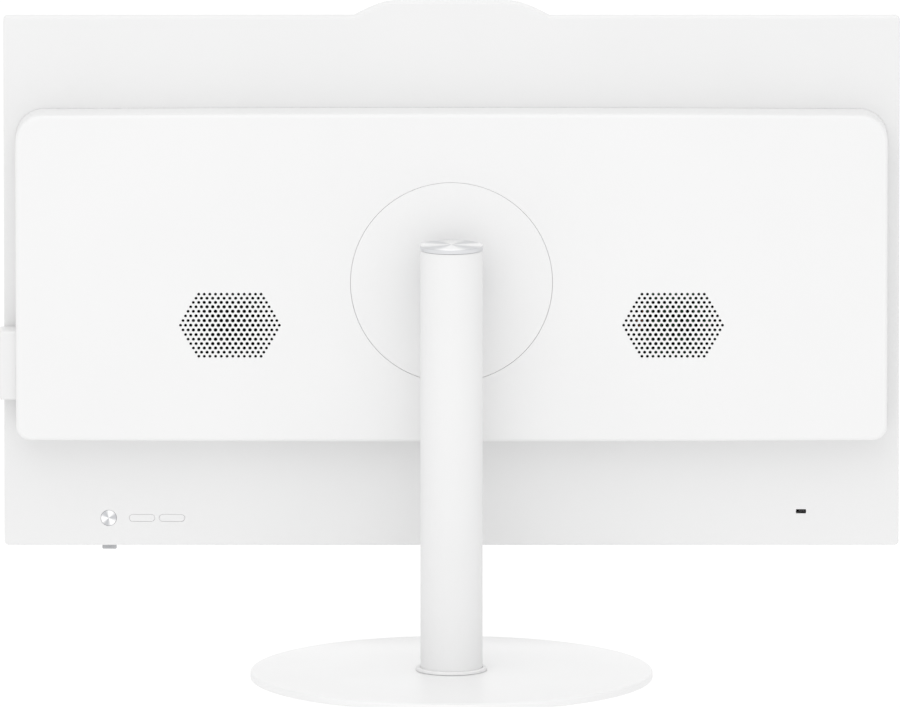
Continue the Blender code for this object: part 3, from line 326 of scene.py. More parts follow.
def spun_metal(name, wedges, turned_by, darker):
    """Aluminium faced on a lathe: bright, with fine rings round its own Z axis. Its sheen fans out in bright
    and dark wedges, and because the room is white all round, these wedges are painted into the metal's
    colour as painted highlight and painted shade.
    The tool marks are 0.1 mm apart in life, and are drawn 0.35 mm apart so that they show."""
    made, shader = new_material(name, "#EDEEF0", 0.28, Metallic=1.0, Anisotropic=0.8)
    tangent = add(made, "ShaderNodeTangent", direction_type="RADIAL", axis="Z")
    link(made, tangent.outputs["Tangent"], shader.inputs["Tangent"])
    place = add(made, "ShaderNodeTexCoord")
    around = add(made, "ShaderNodeTexGradient", {"Vector": place.outputs["Object"]}, gradient_type="RADIAL")
    # The wedges of sheen are painted: a cosine round the axis mixes the painted dark grey with a painted
    # white highlight.
    angle = add(
        made, "ShaderNodeMath", {0: around.outputs["Fac"], 1: math.tau * wedges, 2: math.radians(turned_by)},
        operation="MULTIPLY_ADD",
    )
    wave = add(made, "ShaderNodeMath", {0: angle.outputs[0]}, operation="COSINE")
    painted_sheen_share = add(made, "ShaderNodeMapRange", {"Value": wave.outputs[0], "From Min": -0.8, "From Max": 0.6})
    tone = add(
        made, "ShaderNodeMix",
        {"Factor": painted_sheen_share.outputs["Result"], "A": linear(darker), "B": linear("#FFFFFF")},
        data_type="RGBA",
    )
    # The painted wedges go only on faces that look along the axis. The sides are painted a plain, darker
    # grey as painted shade.
    facing = add(made, "ShaderNodeSeparateXYZ", {"Vector": place.outputs["Normal"]})
    faced = add(
        made, "ShaderNodeMix",
        {"Factor": facing.outputs["Z"], "A": linear("#DEDFE1"), "B": tone.outputs["Result"]},
        data_type="RGBA",
    )
    link(made, faced.outputs["Result"], shader.inputs["Base Color"])
    rings = add(
        made, "ShaderNodeTexWave", {"Vector": place.outputs["Object"], "Scale": 1 / (20 * 0.35 * MM)},
        wave_type="RINGS", rings_direction="Z",
    )
    bump = add(
        made, "ShaderNodeBump", {"Height": rings.outputs["Fac"], "Strength": 0.12, "Distance": 0.02 * MM}
    )
    link(made, bump.outputs["Normal"], shader.inputs["Normal"])
    return made


tube_low, tube_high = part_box("column_tube")
COLUMN_R = tube_high.x
COLUMN_WALL = 3 * MM
TUBE_EDGE = 0.1 * MM
bore = COLUMN_R - COLUMN_WALL
tube_profile = [(bore, tube_low.z), (COLUMN_R, tube_low.z)]
tube_profile += arc(COLUMN_R - TUBE_EDGE, tube_high.z - TUBE_EDGE, TUBE_EDGE, 0, 90, 3)
tube_profile += [(bore, tube_high.z)]
coated_tube = lathe("coated_tube", tube_profile, (0, 0, 0), steps=160)
HUB_HEIGHT = middle_of("hub_cover").z
SLOT_HALF = 11.3 * MM
SLOT_DROP = 9.3 * MM
SCREW_DROPS = (15.5 * MM, 24.5 * MM)
SCREW_HOLE_R = 2.3 * MM
BEYOND = 2 * MM


def screw_holes(start, end):
    """Cutters for the set screws' two holes, between two places along Y."""
    levels = [HUB_HEIGHT - drop for drop in SCREW_DROPS]
    return [bar("screw_hole", SCREW_HOLE_R, (0, start, z), (0, end, z)) for z in levels]


neck_slot = slab(
    "neck_slot",
    (-SLOT_HALF, -COLUMN_R - BEYOND, HUB_HEIGHT - SLOT_DROP),
    (SLOT_HALF, -COLUMN_R / 2, tube_high.z + BEYOND),
)
carve(coated_tube, neck_slot, *screw_holes(-COLUMN_R - BEYOND, -COLUMN_R / 2))
# The column and its collar take the disc's paint, painted a shade darker as painted shade.
tube_coat_painted_darker = powder_coat("white_matt_powder_coat", "#E8E8E8", "#EBEBEB", 0.62)
install(coated_tube, tube_coat_painted_darker, "white_coated_steel", "stand", "column_tube")

collar_low, collar_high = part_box("column_collar")
COLLAR_EDGE = 0.9 * MM
COLLAR_FIT = 0.3 * MM
collar_in = COLUMN_R + COLLAR_FIT
collar_profile = [(collar_in, collar_low.z), (collar_high.x, collar_low.z)]
collar_profile += arc(collar_high.x - COLLAR_EDGE, collar_high.z - COLLAR_EDGE, COLLAR_EDGE, 0, 90, 6)
collar_profile += [(collar_in, collar_high.z)]
foot_collar = lathe("foot_collar", collar_profile, (0, 0, 0))
install(foot_collar, tube_coat_painted_darker, "white_plastic", "stand", "column_collar")

cap_low, cap_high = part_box("column_cap")
CAP_EDGE = 0.7 * MM
SPIGOT_DEPTH = 2 * MM
BORE_FIT = 0.3 * MM
plug_r = bore - BORE_FIT
spigot_end = cap_low.z - cap_high.z
rim = cap_low.z + SPIGOT_DEPTH - cap_high.z
cap_profile = [(0, 0)]
cap_profile += arc(cap_high.x - CAP_EDGE, -CAP_EDGE, CAP_EDGE, 90, 0, 6)
cap_profile += [(cap_high.x, rim), (plug_r, rim), (plug_r, spigot_end), (0, spigot_end)]
# The cap's sheen is painted in four wedges, and the dark wedges are painted this grey.
cap_metal = spun_metal("spun_aluminium_cap", 4, 0, "#DFE0E2")
spun_cap = lathe("spun_cap", cap_profile, (0, 0, cap_high.z))
install(spun_cap, cap_metal, "spun_aluminium", "stand", "column_cap")

# ---- Display back and rear housing ---------------------------------------------------------
# Two mouldings in white ABS with a finely eroded, satin face. The flat back closes the display.
# The raised housing over it holds the computer, and breathes through two fields of round holes.

CORNER_STEPS = 12
BOW_STEPS = 12


def outline_of(left, right, bottom, top, bottom_r, top_r, bow=0.0, steps=CORNER_STEPS):
    """A rectangle with arcs at its corners, whose long edges stand out by bow in the middle."""
    across = [1 - step / BOW_STEPS for step in range(1, 2 * BOW_STEPS)] if bow else []
    middle, half = (left + right) / 2, (right - left) / 2
    low = [(middle - x * (half - bottom_r), bottom - bow * (1 - x * x)) for x in across]
    high = [(middle + x * (half - top_r), top + bow * (1 - x * x)) for x in across]
    points = arc(left + bottom_r, bottom + bottom_r, bottom_r, 180, 270, steps) + low
    points += arc(right - bottom_r, bottom + bottom_r, bottom_r, 270, 360, steps)
    points += arc(right - top_r, top - top_r, top_r, 0, 90, steps) + high
    return points + arc(left + top_r, top - top_r, top_r, 90, 180, steps)


def circle(x, z, radius, steps=16):
    return arc(x, z, radius, 0, 360, steps)[:-1]


SMALL_OPENING = 3 * MM
TRIANGLES_INSIDE = 1
MEETING_POINTS = 0.0001 * MM


def widened(opening, draft):
    """A small opening's outline, enlarged about its middle. A large one is left as it is."""
    middle_x, middle_z = [sum(axis) / len(opening) for axis in zip(*opening)]
    if max(abs(x - middle_x) for x, _ in opening) > SMALL_OPENING:
        return opening
    larger = 1 + draft
    return [(middle_x + (x - middle_x) * larger, middle_z + (z - middle_z) * larger) for x, z in opening]


def ring(bm, points, level):
    """A closed loop of points at one level of Y, which is a moulding's depth."""
    return [bm.verts.new((x, level, z)) for x, z in points]


def bridge(bm, first, second):
    """Joins two loops of as many points with a band of faces."""
    for a, b, c, d in zip(first, first[1:] + first[:1], second[1:] + second[:1], second):
        bm.faces.new((a, b, c, d))


def rounded_over(face, inwards, rounding, steps):
    """The insets and levels that take a flat face round its edge to a side wall."""
    angles = [math.pi / 2 * step / steps for step in range(steps + 1)]
    return [(rounding * (1 - math.sin(a)), face + inwards * rounding * (1 - math.cos(a))) for a in angles]


def fill(bm, outer, holes):
    """Fills the flat area between an outer loop and the convex holes inside it with triangles, and
    drops those that close a hole."""
    verts, edges, owners = [], [], []
    for number, loop in enumerate([outer] + holes):
        count, start = len(loop), len(verts)
        edges += [(start + step, start + (step + 1) % count) for step in range(count)]
        verts += loop
        owners += [number] * count
    flat = [Vector((vert.co.x, vert.co.z)) for vert in verts]
    _, _, triangles, sources, _, _ = delaunay_2d_cdt(flat, edges, [], TRIANGLES_INSIDE, MEETING_POINTS)
    for triangle in triangles:
        corners = [sources[corner][0] for corner in triangle]
        within = {owners[corner] for corner in corners}
        if len(within) > 1 or within == {0}:
            bm.faces.new([verts[corner] for corner in corners])


def moulding(name, outline, openings, face, rim, wall, rounding, draft=0.0):
    """A tray with a flat face, a rounded edge, side walls up to the rim, and openings through its face,
    which widen inwards by the draft. The outline gives the points at a distance inside the outer edge."""
    bm = bmesh.new()
    inwards = -1 if face > rim else 1
    inner_face = face + inwards * wall
    levels = rounded_over(face, inwards, rounding, 8) + [(0, rim), (wall, rim), (wall, inner_face)]
    rings = [ring(bm, outline(inset), level) for inset, level in levels]
    outer_holes = [ring(bm, opening, face) for opening in openings]
    inner_holes = [ring(bm, widened(opening, draft), inner_face) for opening in openings]
    for first, second in [*zip(rings, rings[1:]), *zip(outer_holes, inner_holes)]:
        bridge(bm, first, second)
    fill(bm, rings[0], outer_holes)
    fill(bm, rings[-1], inner_holes)
    return object_of(name, bm)


FACING_OUT = 0.9999


def sharpen_flat_faces(obj, *levels):
    """Keeps a moulding's flat faces flat in the light, by a crease around each."""
    bm = bmesh.new()
    bm.from_mesh(obj.data)
    for edge in bm.edges:
        flat = [all(abs(v.co.y - level) < SAME_PLACE for v in edge.verts) for level in levels]
        if any(flat) and any(abs(f.normal.y) < FACING_OUT for f in edge.link_faces):
            edge.smooth = False
    bm.to_mesh(obj.data)
    bm.free()


def eroded_abs(name, darker, lighter):
    """ABS, injection-moulded in a spark-eroded tool: an opaque white with a satin face and a very fine
    grain. The grain is 0.1 mm in life, and is drawn at 0.7 mm so that it shows. The tone drifts a
    little over 90 mm, as the melt flows."""
    made, shader = new_material(name, lighter, 0.46)
    place = add(made, "ShaderNodeTexCoord")
    grain = add(made, "ShaderNodeTexNoise", {"Vector": place.outputs["Object"], "Scale": 1 / (0.7 * MM)})
    cloud = add(made, "ShaderNodeTexNoise", {"Vector": place.outputs["Object"], "Scale": 1 / (90 * MM)})
    tone = add(
        made, "ShaderNodeMix",
        {"Factor": cloud.outputs["Fac"], "A": linear(darker), "B": linear(lighter)},
        data_type="RGBA",
    )
    link(made, tone.outputs["Result"], shader.inputs["Base Color"])
    sheen = add(made, "ShaderNodeMapRange", {"Value": grain.outputs["Fac"], "To Min": 0.42, "To Max": 0.52})
    link(made, sheen.outputs["Result"], shader.inputs["Roughness"])
    bump = add(
        made, "ShaderNodeBump", {"Height": grain.outputs["Fac"], "Strength": 0.05, "Distance": 0.02 * MM}
    )
    link(made, bump.outputs["Normal"], shader.inputs["Normal"])
    return made


# The housing and the display are one ABS. The housing's copy is painted a shade lighter and the display's a
# shade darker, as painted light and painted shade.
housing_abs_painted_lighter = eroded_abs("white_housing_abs", "#EAEAEA", "#EDEDED")
display_abs_painted_darker = eroded_abs("white_display_abs", "#E6E6E6", "#E9E9E9")

housing_low, housing_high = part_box("rear_housing")
HOUSING_WALL = 2.5 * MM
HOUSING_EDGE = 2.5 * MM
HOUSING_BOW = 0.9 * MM
HOUSING_TOP_R = 19 * MM
HOUSING_BOTTOM_R = 10 * MM
HUB_R = 69 * MM


def housing_outline(inset):
    return outline_of(
        housing_low.x + inset, housing_high.x - inset,
        housing_low.z + HOUSING_BOW + inset, housing_high.z - HOUSING_BOW - inset,
        HOUSING_BOTTOM_R - inset, HOUSING_TOP_R - inset, HOUSING_BOW,
    )


VENT_OFFSET = 151.7 * MM
VENT_Z = HUB_HEIGHT - 29.6 * MM
VENT_DRAFT = 0.2
HALF_ROWS = 7
HALF_LENGTH = 9
# Pitches and radius at the middle of a vent, and how much less each is at its edge, in mm.
ROW_PITCH, ROW_PITCH_LOSS = 3.25, 0.53
HOLE_PITCH, HOLE_PITCH_LOSS = 3.95, 0.58
HOLE_R, HOLE_R_LOSS = 1.3, 0.3


def vent_holes(side):
    """The round holes of one vent: a hexagon of rows, closer together and smaller towards the edge."""
    holes = []
    for row in range(-HALF_ROWS, HALF_ROWS + 1):
        count = 2 * HALF_LENGTH + 1 - abs(row)
        z = ROW_PITCH * row - ROW_PITCH_LOSS * row ** 3 / (3 * HALF_ROWS ** 2)
        for number in range(count):
            across = number - (count - 1) / 2
            x = HOLE_PITCH * across - HOLE_PITCH_LOSS * across ** 3 / (3 * HALF_LENGTH ** 2)
            outwards = max(abs(row) / HALF_ROWS, (abs(across) + abs(row) / 2) / HALF_LENGTH)
            radius = HOLE_R - HOLE_R_LOSS * outwards ** 2
            holes.append(circle(side * VENT_OFFSET + x * MM, VENT_Z + z * MM, radius * MM))
    return holes


HUB_HOLE_FIT = 0.3 * MM
hub_hole = circle(0, HUB_HEIGHT, HUB_R + HUB_HOLE_FIT, 256)
moulded_housing = moulding(
    "moulded_housing", housing_outline, [hub_hole] + vent_holes(1) + vent_holes(-1),
    housing_high.y, housing_low.y, HOUSING_WALL, HOUSING_EDGE, VENT_DRAFT,
)
install(moulded_housing, housing_abs_painted_lighter, "white_plastic", "display", "rear_housing")
sharpen_flat_faces(moulded_housing, housing_high.y)

back_low, back_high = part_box("back_cover")
BACK_WALL = 2.2 * MM
BACK_EDGE = 0.9 * MM
CORNER_R = 3 * MM
LEAST_CORNER_R = 0.5 * MM
HUMP_HALF_BASE = 67 * MM
HUMP_HALF_TOP = 36 * MM
HUMP_HEIGHT = 10.3 * MM
SHOULDER_STEPS = 24


def display_outline(inset):
    """The display's outline, with the camera hump on its top edge."""
    top = back_high.z - HUMP_HEIGHT - inset
    radius = max(CORNER_R - inset, LEAST_CORNER_R)
    body = outline_of(back_low.x + inset, back_high.x - inset, back_low.z + inset, top, radius, radius)
    corner = len(body) - (CORNER_STEPS + 1)
    shoulder = []
    for step in range(SHOULDER_STEPS + 1):
        x = HUMP_HALF_BASE - inset + (HUMP_HALF_TOP - HUMP_HALF_BASE) * step / SHOULDER_STEPS
        shoulder.append((x, top + HUMP_HEIGHT * math.sin(math.pi / 2 * step / SHOULDER_STEPS)))
    return body[:corner] + shoulder + [(-x, z) for x, z in reversed(shoulder)] + body[corner:]


power_low, power_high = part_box("power_button")
POWER_R = 5.4 * MM
POWER_X, _, CONTROLS_Z = middle_of("power_button")
KEY_LENGTH = 17.5 * MM
KEY_HEIGHT = 4.8 * MM
KEY_FIT = 0.14 * MM


def pill(x, z, length, height):
    """A bar outline with round ends."""
    radius = height / 2
    end = length / 2 - radius
    return arc(x + end, z, radius, -90, 90, 12) + arc(x - end, z, radius, 90, 270, 12)


key_places = {name: middle_of(name).x for name in ("brightness_up_key", "brightness_down_key")}
LOCK_X, LOCK_Z = -240 * MM, 104.5 * MM
LOCK_HALF_WIDTH, LOCK_HALF_HEIGHT = 3.5 * MM, 1.5 * MM
LOCK_CORNER_R = 0.5 * MM
WINDOW_MARGIN = 8.5 * MM
back_openings = [
    housing_outline(WINDOW_MARGIN),
    circle(POWER_X, CONTROLS_Z, POWER_R + KEY_FIT, 64),
    outline_of(
        LOCK_X - LOCK_HALF_WIDTH, LOCK_X + LOCK_HALF_WIDTH,
        LOCK_Z - LOCK_HALF_HEIGHT, LOCK_Z + LOCK_HALF_HEIGHT,
        LOCK_CORNER_R, LOCK_CORNER_R, steps=3,
    ),
]
for x in key_places.values():
    back_openings.append(pill(x, CONTROLS_Z, KEY_LENGTH + 2 * KEY_FIT, KEY_HEIGHT + 2 * KEY_FIT))
moulded_back = moulding(
    "moulded_back", display_outline, back_openings, back_high.y, back_low.y, BACK_WALL, BACK_EDGE
)
install(moulded_back, display_abs_painted_darker, "white_plastic", "display", "back_cover")
sharpen_flat_faces(moulded_back, back_high.y)

# ---- Hub cover and neck --------------------------------------------------------------------
# The round cover is a flush ABS moulding that snaps behind the edge of the housing's hole. The
# neck is an aluminium die casting, blasted, whose plug fills the top of the column's bore.

hub_low, hub_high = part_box("hub_cover")
HUB_EDGE = 0.35 * MM
HUB_FIT = 0.12 * MM
FLANGE_R = 72.5 * MM
FLANGE_INNER_R = HUB_R - 3 * MM
FLANGE_THICKNESS = 1.5 * MM
FLANGE_GAP = 0.3 * MM
hub_r = HUB_R + HUB_FIT
lip = -HOUSING_WALL - FLANGE_GAP
hub_profile = [(0, 0)]
hub_profile += arc(hub_r - HUB_EDGE, -HUB_EDGE, HUB_EDGE, 90, 0, 5)
hub_profile += [
    (hub_r, lip), (FLANGE_R, lip), (FLANGE_R, lip - FLANGE_THICKNESS),
    (FLANGE_INNER_R, lip - FLANGE_THICKNESS), (FLANGE_INNER_R, -HOUSING_WALL), (0, -HOUSING_WALL),
]
hub_plate = lathe("hub_plate", hub_profile, (0, hub_high.y, HUB_HEIGHT), "Y")
WINDOW_HALF_WIDTH = 13.5 * MM
WINDOW_HALF_HEIGHT = 14.5 * MM
WINDOW_ROUNDING = 1.5 * MM
neck_window = slab(
    "neck_window",
    (-WINDOW_HALF_WIDTH, hub_low.y - BEYOND, HUB_HEIGHT - WINDOW_HALF_HEIGHT),
    (WINDOW_HALF_WIDTH, hub_high.y + BEYOND, HUB_HEIGHT + WINDOW_HALF_HEIGHT),
    WINDOW_ROUNDING,
)
carve(hub_plate, neck_window)
install(hub_plate, housing_abs_painted_lighter, "white_plastic", "display", "hub_cover")

# Die-cast aluminium, shot-blasted: a grey metal with a dull, slightly pebbled skin. The pebbles
# are 0.2 mm in life, and are drawn at 0.6 mm so that they show.
die_casting, shader = new_material("die_cast_aluminium", "#C2C4C7", 0.5, Metallic=1.0)
place = add(die_casting, "ShaderNodeTexCoord")
pebbles = add(
    die_casting, "ShaderNodeTexVoronoi", {"Vector": place.outputs["Object"], "Scale": 1 / (0.6 * MM)}
)
stain = add(
    die_casting, "ShaderNodeTexNoise",
    {"Vector": place.outputs["Object"], "Scale": 1 / (12 * MM), "Detail": 4.0},
)
tone = add(
    die_casting, "ShaderNodeMix",
    {"Factor": stain.outputs["Fac"], "A": linear("#B4B6B9"), "B": linear("#CFD0D3")},
    data_type="RGBA",
)
link(die_casting, tone.outputs["Result"], shader.inputs["Base Color"])
bump = add(
    die_casting, "ShaderNodeBump",
    {"Height": pebbles.outputs["Distance"], "Strength": 0.25, "Distance": 0.05 * MM},
)
link(die_casting, bump.outputs["Normal"], shader.inputs["Normal"])

AXIS_Y = -55 * MM
NECK_HALF_WIDTH = 11 * MM
KNUCKLE_R = 9 * MM
NECK_EDGE = 1.2 * MM
PIN_HOLE_R = 4.3 * MM
PIN_HOLE_HALF = 50 * MM
SCREW_HOLE_END = -9.7 * MM


def neck_side():
    """The arm's outline from the side, as Y and Z: a bar that ends in a round knuckle."""
    points = [(AXIS_Y + y, HUB_HEIGHT + z) for y, z in arc(0, 0, KNUCKLE_R, 90, 270, 24)]
    return points + [(0, HUB_HEIGHT - KNUCKLE_R), (0, HUB_HEIGHT + KNUCKLE_R)]


bm = bmesh.new()
side = bm.faces.new([bm.verts.new((-NECK_HALF_WIDTH, y, z)) for y, z in neck_side()])
pulled = bmesh.ops.extrude_face_region(bm, geom=[side])["geom"]
moved = [item for item in pulled if isinstance(item, bmesh.types.BMVert)]
bmesh.ops.translate(bm, vec=(2 * NECK_HALF_WIDTH, 0, 0), verts=moved)
rims = [edge for edge in bm.edges if len({round(v.co.x, 5) for v in edge.verts}) == 1]
bmesh.ops.bevel(bm, geom=rims, offset=NECK_EDGE, segments=3, profile=0.5, affect="EDGES")
cast_neck = object_of("cast_neck", bm)
neck_low, neck_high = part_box("neck_arm")
plug = bar("neck_plug", plug_r, (0, 0, neck_low.z), (0, 0, neck_high.z), 96)
modifier = cast_neck.modifiers.new("plug", "BOOLEAN")
modifier.operation = "UNION"
modifier.object = plug
pin_ends = [(side * PIN_HOLE_HALF, AXIS_Y, HUB_HEIGHT) for side in (-1, 1)]
carve(cast_neck, bar("pin_hole", PIN_HOLE_R, *pin_ends), *screw_holes(-COLUMN_R, SCREW_HOLE_END))
bpy.data.objects.remove(plug)
install(cast_neck, die_casting, "cast_aluminium", "stand", "neck_arm")

# ---- Side pod ------------------------------------------------------------------------------
# A white ABS pod on the housing's port side, with a USB-A, a USB-C and a 3.5 mm audio socket
# let into its outer face. Each socket is a drawn steel shell, plated, round a black insulator.

pod_low, pod_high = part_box("side_port_pod")
POD_WALL = 1.4 * MM
POD_EDGE = 1.3 * MM
POD_CORNER_R = 1.6 * MM
LEAST_POD_R = 0.3 * MM
SOCKET_GAP = 0.15 * MM
LEAST_SHELL_R = 0.15 * MM
sideways = Matrix.Rotation(-math.pi / 2, 4, "Z")


def pod_outline(inset):
    radius = max(POD_CORNER_R - inset, LEAST_POD_R)
    return outline_of(
        inset - pod_high.y, -pod_low.y - inset, pod_low.z + inset, pod_high.z - inset, radius, radius
    )


# node, half width and half height of the shell, corner radius
SIDE_SOCKETS = (
    ("side_usb_port", 3.5 * MM, 7.2 * MM, 0.7 * MM),
    ("side_usb_c_port", 2.1 * MM, 5.0 * MM, 2.05 * MM),
    ("side_audio_jack", 2.55 * MM, 2.55 * MM, 2.5 * MM),
)


def shell_outline(node, half_width, half_height, radius):
    """A socket's outline at a distance inside its shell, in the pod's own X and Z."""
    _, y, z = middle_of(node)
    x = -y

    def at(inset):
        r = max(radius - inset, LEAST_SHELL_R)
        across, up = half_width - inset, half_height - inset
        return outline_of(x - across, x + across, z - up, z + up, r, r)

    return at


pod_openings = [shell_outline(*socket)(-SOCKET_GAP) for socket in SIDE_SOCKETS]
pod_shell = moulding("pod_shell", pod_outline, pod_openings, pod_high.x, pod_low.x, POD_WALL, POD_EDGE)
sharpen_flat_faces(pod_shell, pod_high.x)
pod_shell.data.transform(sideways)
install(pod_shell, display_abs_painted_darker, "white_plastic", "display", "side_port_pod")

# Drawn steel with a bright tin plating: a clean, slightly warm metal with fine drawing lines
# 0.15 mm apart, drawn at 0.4 mm so that they show.
plated_shell, shader = new_material("tin_plated_steel", "#D5D3CE", 0.26, Metallic=1.0)
place = add(plated_shell, "ShaderNodeTexCoord")
stretched = add(plated_shell, "ShaderNodeMapping", {"Vector": place.outputs["Object"], "Scale": (0.1, 1, 1)})
lines = add(
    plated_shell, "ShaderNodeTexNoise",
    {"Vector": stretched.outputs["Vector"], "Scale": 1 / (0.4 * MM), "Detail": 2.0},
)
wear = add(
    plated_shell, "ShaderNodeMapRange", {"Value": lines.outputs["Fac"], "To Min": 0.2, "To Max": 0.34}
)
link(plated_shell, wear.outputs["Result"], shader.inputs["Roughness"])
bump = add(
    plated_shell, "ShaderNodeBump", {"Height": lines.outputs["Fac"], "Strength": 0.1, "Distance": 0.02 * MM}
)
link(plated_shell, bump.outputs["Normal"], shader.inputs["Normal"])

# Black glass-filled plastic, moulded: matt, with faint flow marks.
black_plastic, shader = new_material("moulded_black_plastic", "#151515", 0.52)
place = add(black_plastic, "ShaderNodeTexCoord")
flow = add(
    black_plastic, "ShaderNodeTexNoise",
    {"Vector": place.outputs["Object"], "Scale": 1 / (5 * MM), "Detail": 5.0},
)
tone = add(
    black_plastic, "ShaderNodeMix",
    {"Factor": flow.outputs["Fac"], "A": linear("#101010"), "B": linear("#1C1C1C")},
    data_type="RGBA",
)
link(black_plastic, tone.outputs["Result"], shader.inputs["Base Color"])
grain = add(
    black_plastic, "ShaderNodeTexNoise", {"Vector": place.outputs["Object"], "Scale": 1 / (0.5 * MM)}
)
bump = add(
    black_plastic, "ShaderNodeBump",
    {"Height": grain.outputs["Fac"], "Strength": 0.15, "Distance": 0.03 * MM},
)
link(black_plastic, bump.outputs["Normal"], shader.inputs["Normal"])

SHELL_WALL = 0.4 * MM
SHELL_EDGE = 0.2 * MM
SLEEVE_R, SLEEVE_BORE_R = 2.1 * MM, 1.75 * MM
SLEEVE_DEPTH = 12 * MM
SLEEVE_RECESS = 0.1 * MM
# A tongue is thin across its shell, ends short of it, and stands off its middle in a USB-A socket.
TONGUE_SHARE = 0.22
TONGUE_MARGIN = 1.6 * MM
TONGUE_RECESS = 1.2 * MM
TONGUE_EDGE = 0.25 * MM
TONGUE_SHIFT = 0.9 * MM
for node, half_width, half_height, radius in SIDE_SOCKETS:
    low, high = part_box(node)
    _, y, z = middle_of(node)
    outline = shell_outline(node, half_width, half_height, radius)
    shell = moulding(node + "_shell", outline, [], low.x, high.x, SHELL_WALL, SHELL_EDGE)
    shell.data.transform(sideways)
    install(shell, plated_shell, "steel", "display", node)
    if node == "side_audio_jack":
        sleeve_profile = [(SLEEVE_BORE_R, -SLEEVE_DEPTH), (SLEEVE_R, -SLEEVE_DEPTH)]
        sleeve_profile += [(SLEEVE_R, 0), (SLEEVE_BORE_R, 0)]
        inner = lathe(node + "_insulator", sleeve_profile, (high.x - SLEEVE_RECESS, y, z), "X", 48)
    else:
        y += TONGUE_SHIFT if node == "side_usb_port" else 0
        across, up = half_width * TONGUE_SHARE, half_height - TONGUE_MARGIN
        start = (low.x + SHELL_WALL, y - across, z - up)
        end = (high.x - TONGUE_RECESS, y + across, z + up)
        inner = slab(node + "_insulator", start, end, TONGUE_EDGE)
    install(inner, black_plastic, "black_plastic", "display")

# ---- Sockets on the housing's underside ----------------------------------------------------
# Power, video, network and two USB-A sockets stand on the main board's lower edge, behind a
# plated shield. Their shells are the plain solids; the insulators and pins inside are added.

# node, inset from the shell's ends, half thickness, shift off the shell's middle
INSULATORS = (
    ("video_port", 2.6 * MM, 0.6 * MM, 0),
    ("rear_usb_port_1", 2.6 * MM, 0.6 * MM, 0.9 * MM),
    ("rear_usb_port_2", 2.6 * MM, 0.6 * MM, 0.9 * MM),
    ("network_jack", 3.2 * MM, 0.4 * MM, 2.9 * MM),
)
SOLDER_LEGS = 1.2 * MM
MOUTH_RECESS = 1.4 * MM
SHELL_BACK = 0.8 * MM
INSULATOR_EDGE = 0.2 * MM
for node, inset, half_thickness, shift in INSULATORS:
    low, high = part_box(node)
    y = (low.y + SOLDER_LEGS + high.y) / 2 + shift
    insulator = slab(
        node + "_insulator",
        (low.x + inset, y - half_thickness, low.z + MOUTH_RECESS),
        (high.x - inset, y + half_thickness, high.z - SHELL_BACK),
        INSULATOR_EDGE,
    )
    install(insulator, black_plastic, "black_plastic", "display")
low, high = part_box("dc_inlet")
x, y = (low.x + high.x) / 2, (low.y + SOLDER_LEGS + high.y) / 2
PIN_R = 0.8 * MM
PIN_LENGTH = 8 * MM
pin_profile = [(0, 0), (PIN_R, 0)] + arc(0, PIN_LENGTH, PIN_R, 0, 90, 6)
pin = lathe("inlet_pin", pin_profile, (x, y, high.z - SHELL_BACK), "Z", 24)
pin.rotation_euler = (math.pi, 0, 0)
install(pin, plated_shell, "steel", "display")

# ---- Power button and brightness keys ------------------------------------------------------
# The button is turned from aluminium, and its face is spun with a shallow dish. The two keys are
# white ABS, polished a little more than the back. All three slide in holes in the back cover.

# The button's sheen is painted in three wedges, turned 150 degrees, and the dark wedges are painted this
# deeper grey.
button_metal = spun_metal("spun_aluminium_button", 3, 150, "#C6C7CA")
BUTTON_EDGE = 0.35 * MM
BUTTON_PROUD = 0.1 * MM
DISH = 0.12 * MM
LIP_THICKNESS = 1.3 * MM
lip_back = power_low.y - back_high.y
lip_front = lip_back + LIP_THICKNESS
lip_r = (power_high.x - power_low.x) / 2
dish_levels = ((0, 1), (2 * MM, 0.8), (4 * MM, 0.3))
button_profile = [(radius, BUTTON_PROUD - DISH * share) for radius, share in dish_levels]
button_profile += arc(POWER_R - BUTTON_EDGE, BUTTON_PROUD - BUTTON_EDGE, BUTTON_EDGE, 90, 0, 5)
button_profile += [(POWER_R, lip_front), (lip_r, lip_front), (lip_r, lip_back), (0, lip_back)]
turned_button = lathe("turned_button", button_profile, (POWER_X, back_high.y, CONTROLS_Z), "Y", 96)
install(turned_button, button_metal, "spun_aluminium", "power", "power_button")

# ABS, injection-moulded in a polished tool and then tumbled: smoother than the back, with more gloss.
key_abs, shader = new_material("white_polished_abs", "#E8E8E8", 0.36)
place = add(key_abs, "ShaderNodeTexCoord")
haze = add(
    key_abs, "ShaderNodeTexNoise",
    {"Vector": place.outputs["Object"], "Scale": 1 / (1.2 * MM), "Detail": 3.0},
)
sheen = add(key_abs, "ShaderNodeMapRange", {"Value": haze.outputs["Fac"], "To Min": 0.28, "To Max": 0.38})
link(key_abs, sheen.outputs["Result"], shader.inputs["Roughness"])
KEY_EDGE = 0.25 * MM
KEY_LIP = 1 * MM
for (node, x), body in zip(key_places.items(), ("key_up", "key_down")):
    low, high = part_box(node)

    def key_outline(inset, x=x):
        return pill(x, CONTROLS_Z, KEY_LENGTH - 2 * inset, KEY_HEIGHT - 2 * inset)

    bm = bmesh.new()
    levels = rounded_over(high.y, -1, KEY_EDGE, 5)
    levels += [(0, low.y + LIP_THICKNESS), (-KEY_LIP, low.y + LIP_THICKNESS), (-KEY_LIP, low.y)]
    rings = [ring(bm, key_outline(inset), level) for inset, level in levels]
    for first, second in zip(rings, rings[1:]):
        bridge(bm, first, second)
    bm.faces.new(rings[0])
    bm.faces.new(rings[-1])
    install(object_of(body + "_cap", bm), key_abs, "white_plastic", body, node)

# ---- Status lens ---------------------------------------------------------------------------
# A smoked polycarbonate light pipe, snapped into a slot in the bottom edge under the power button.

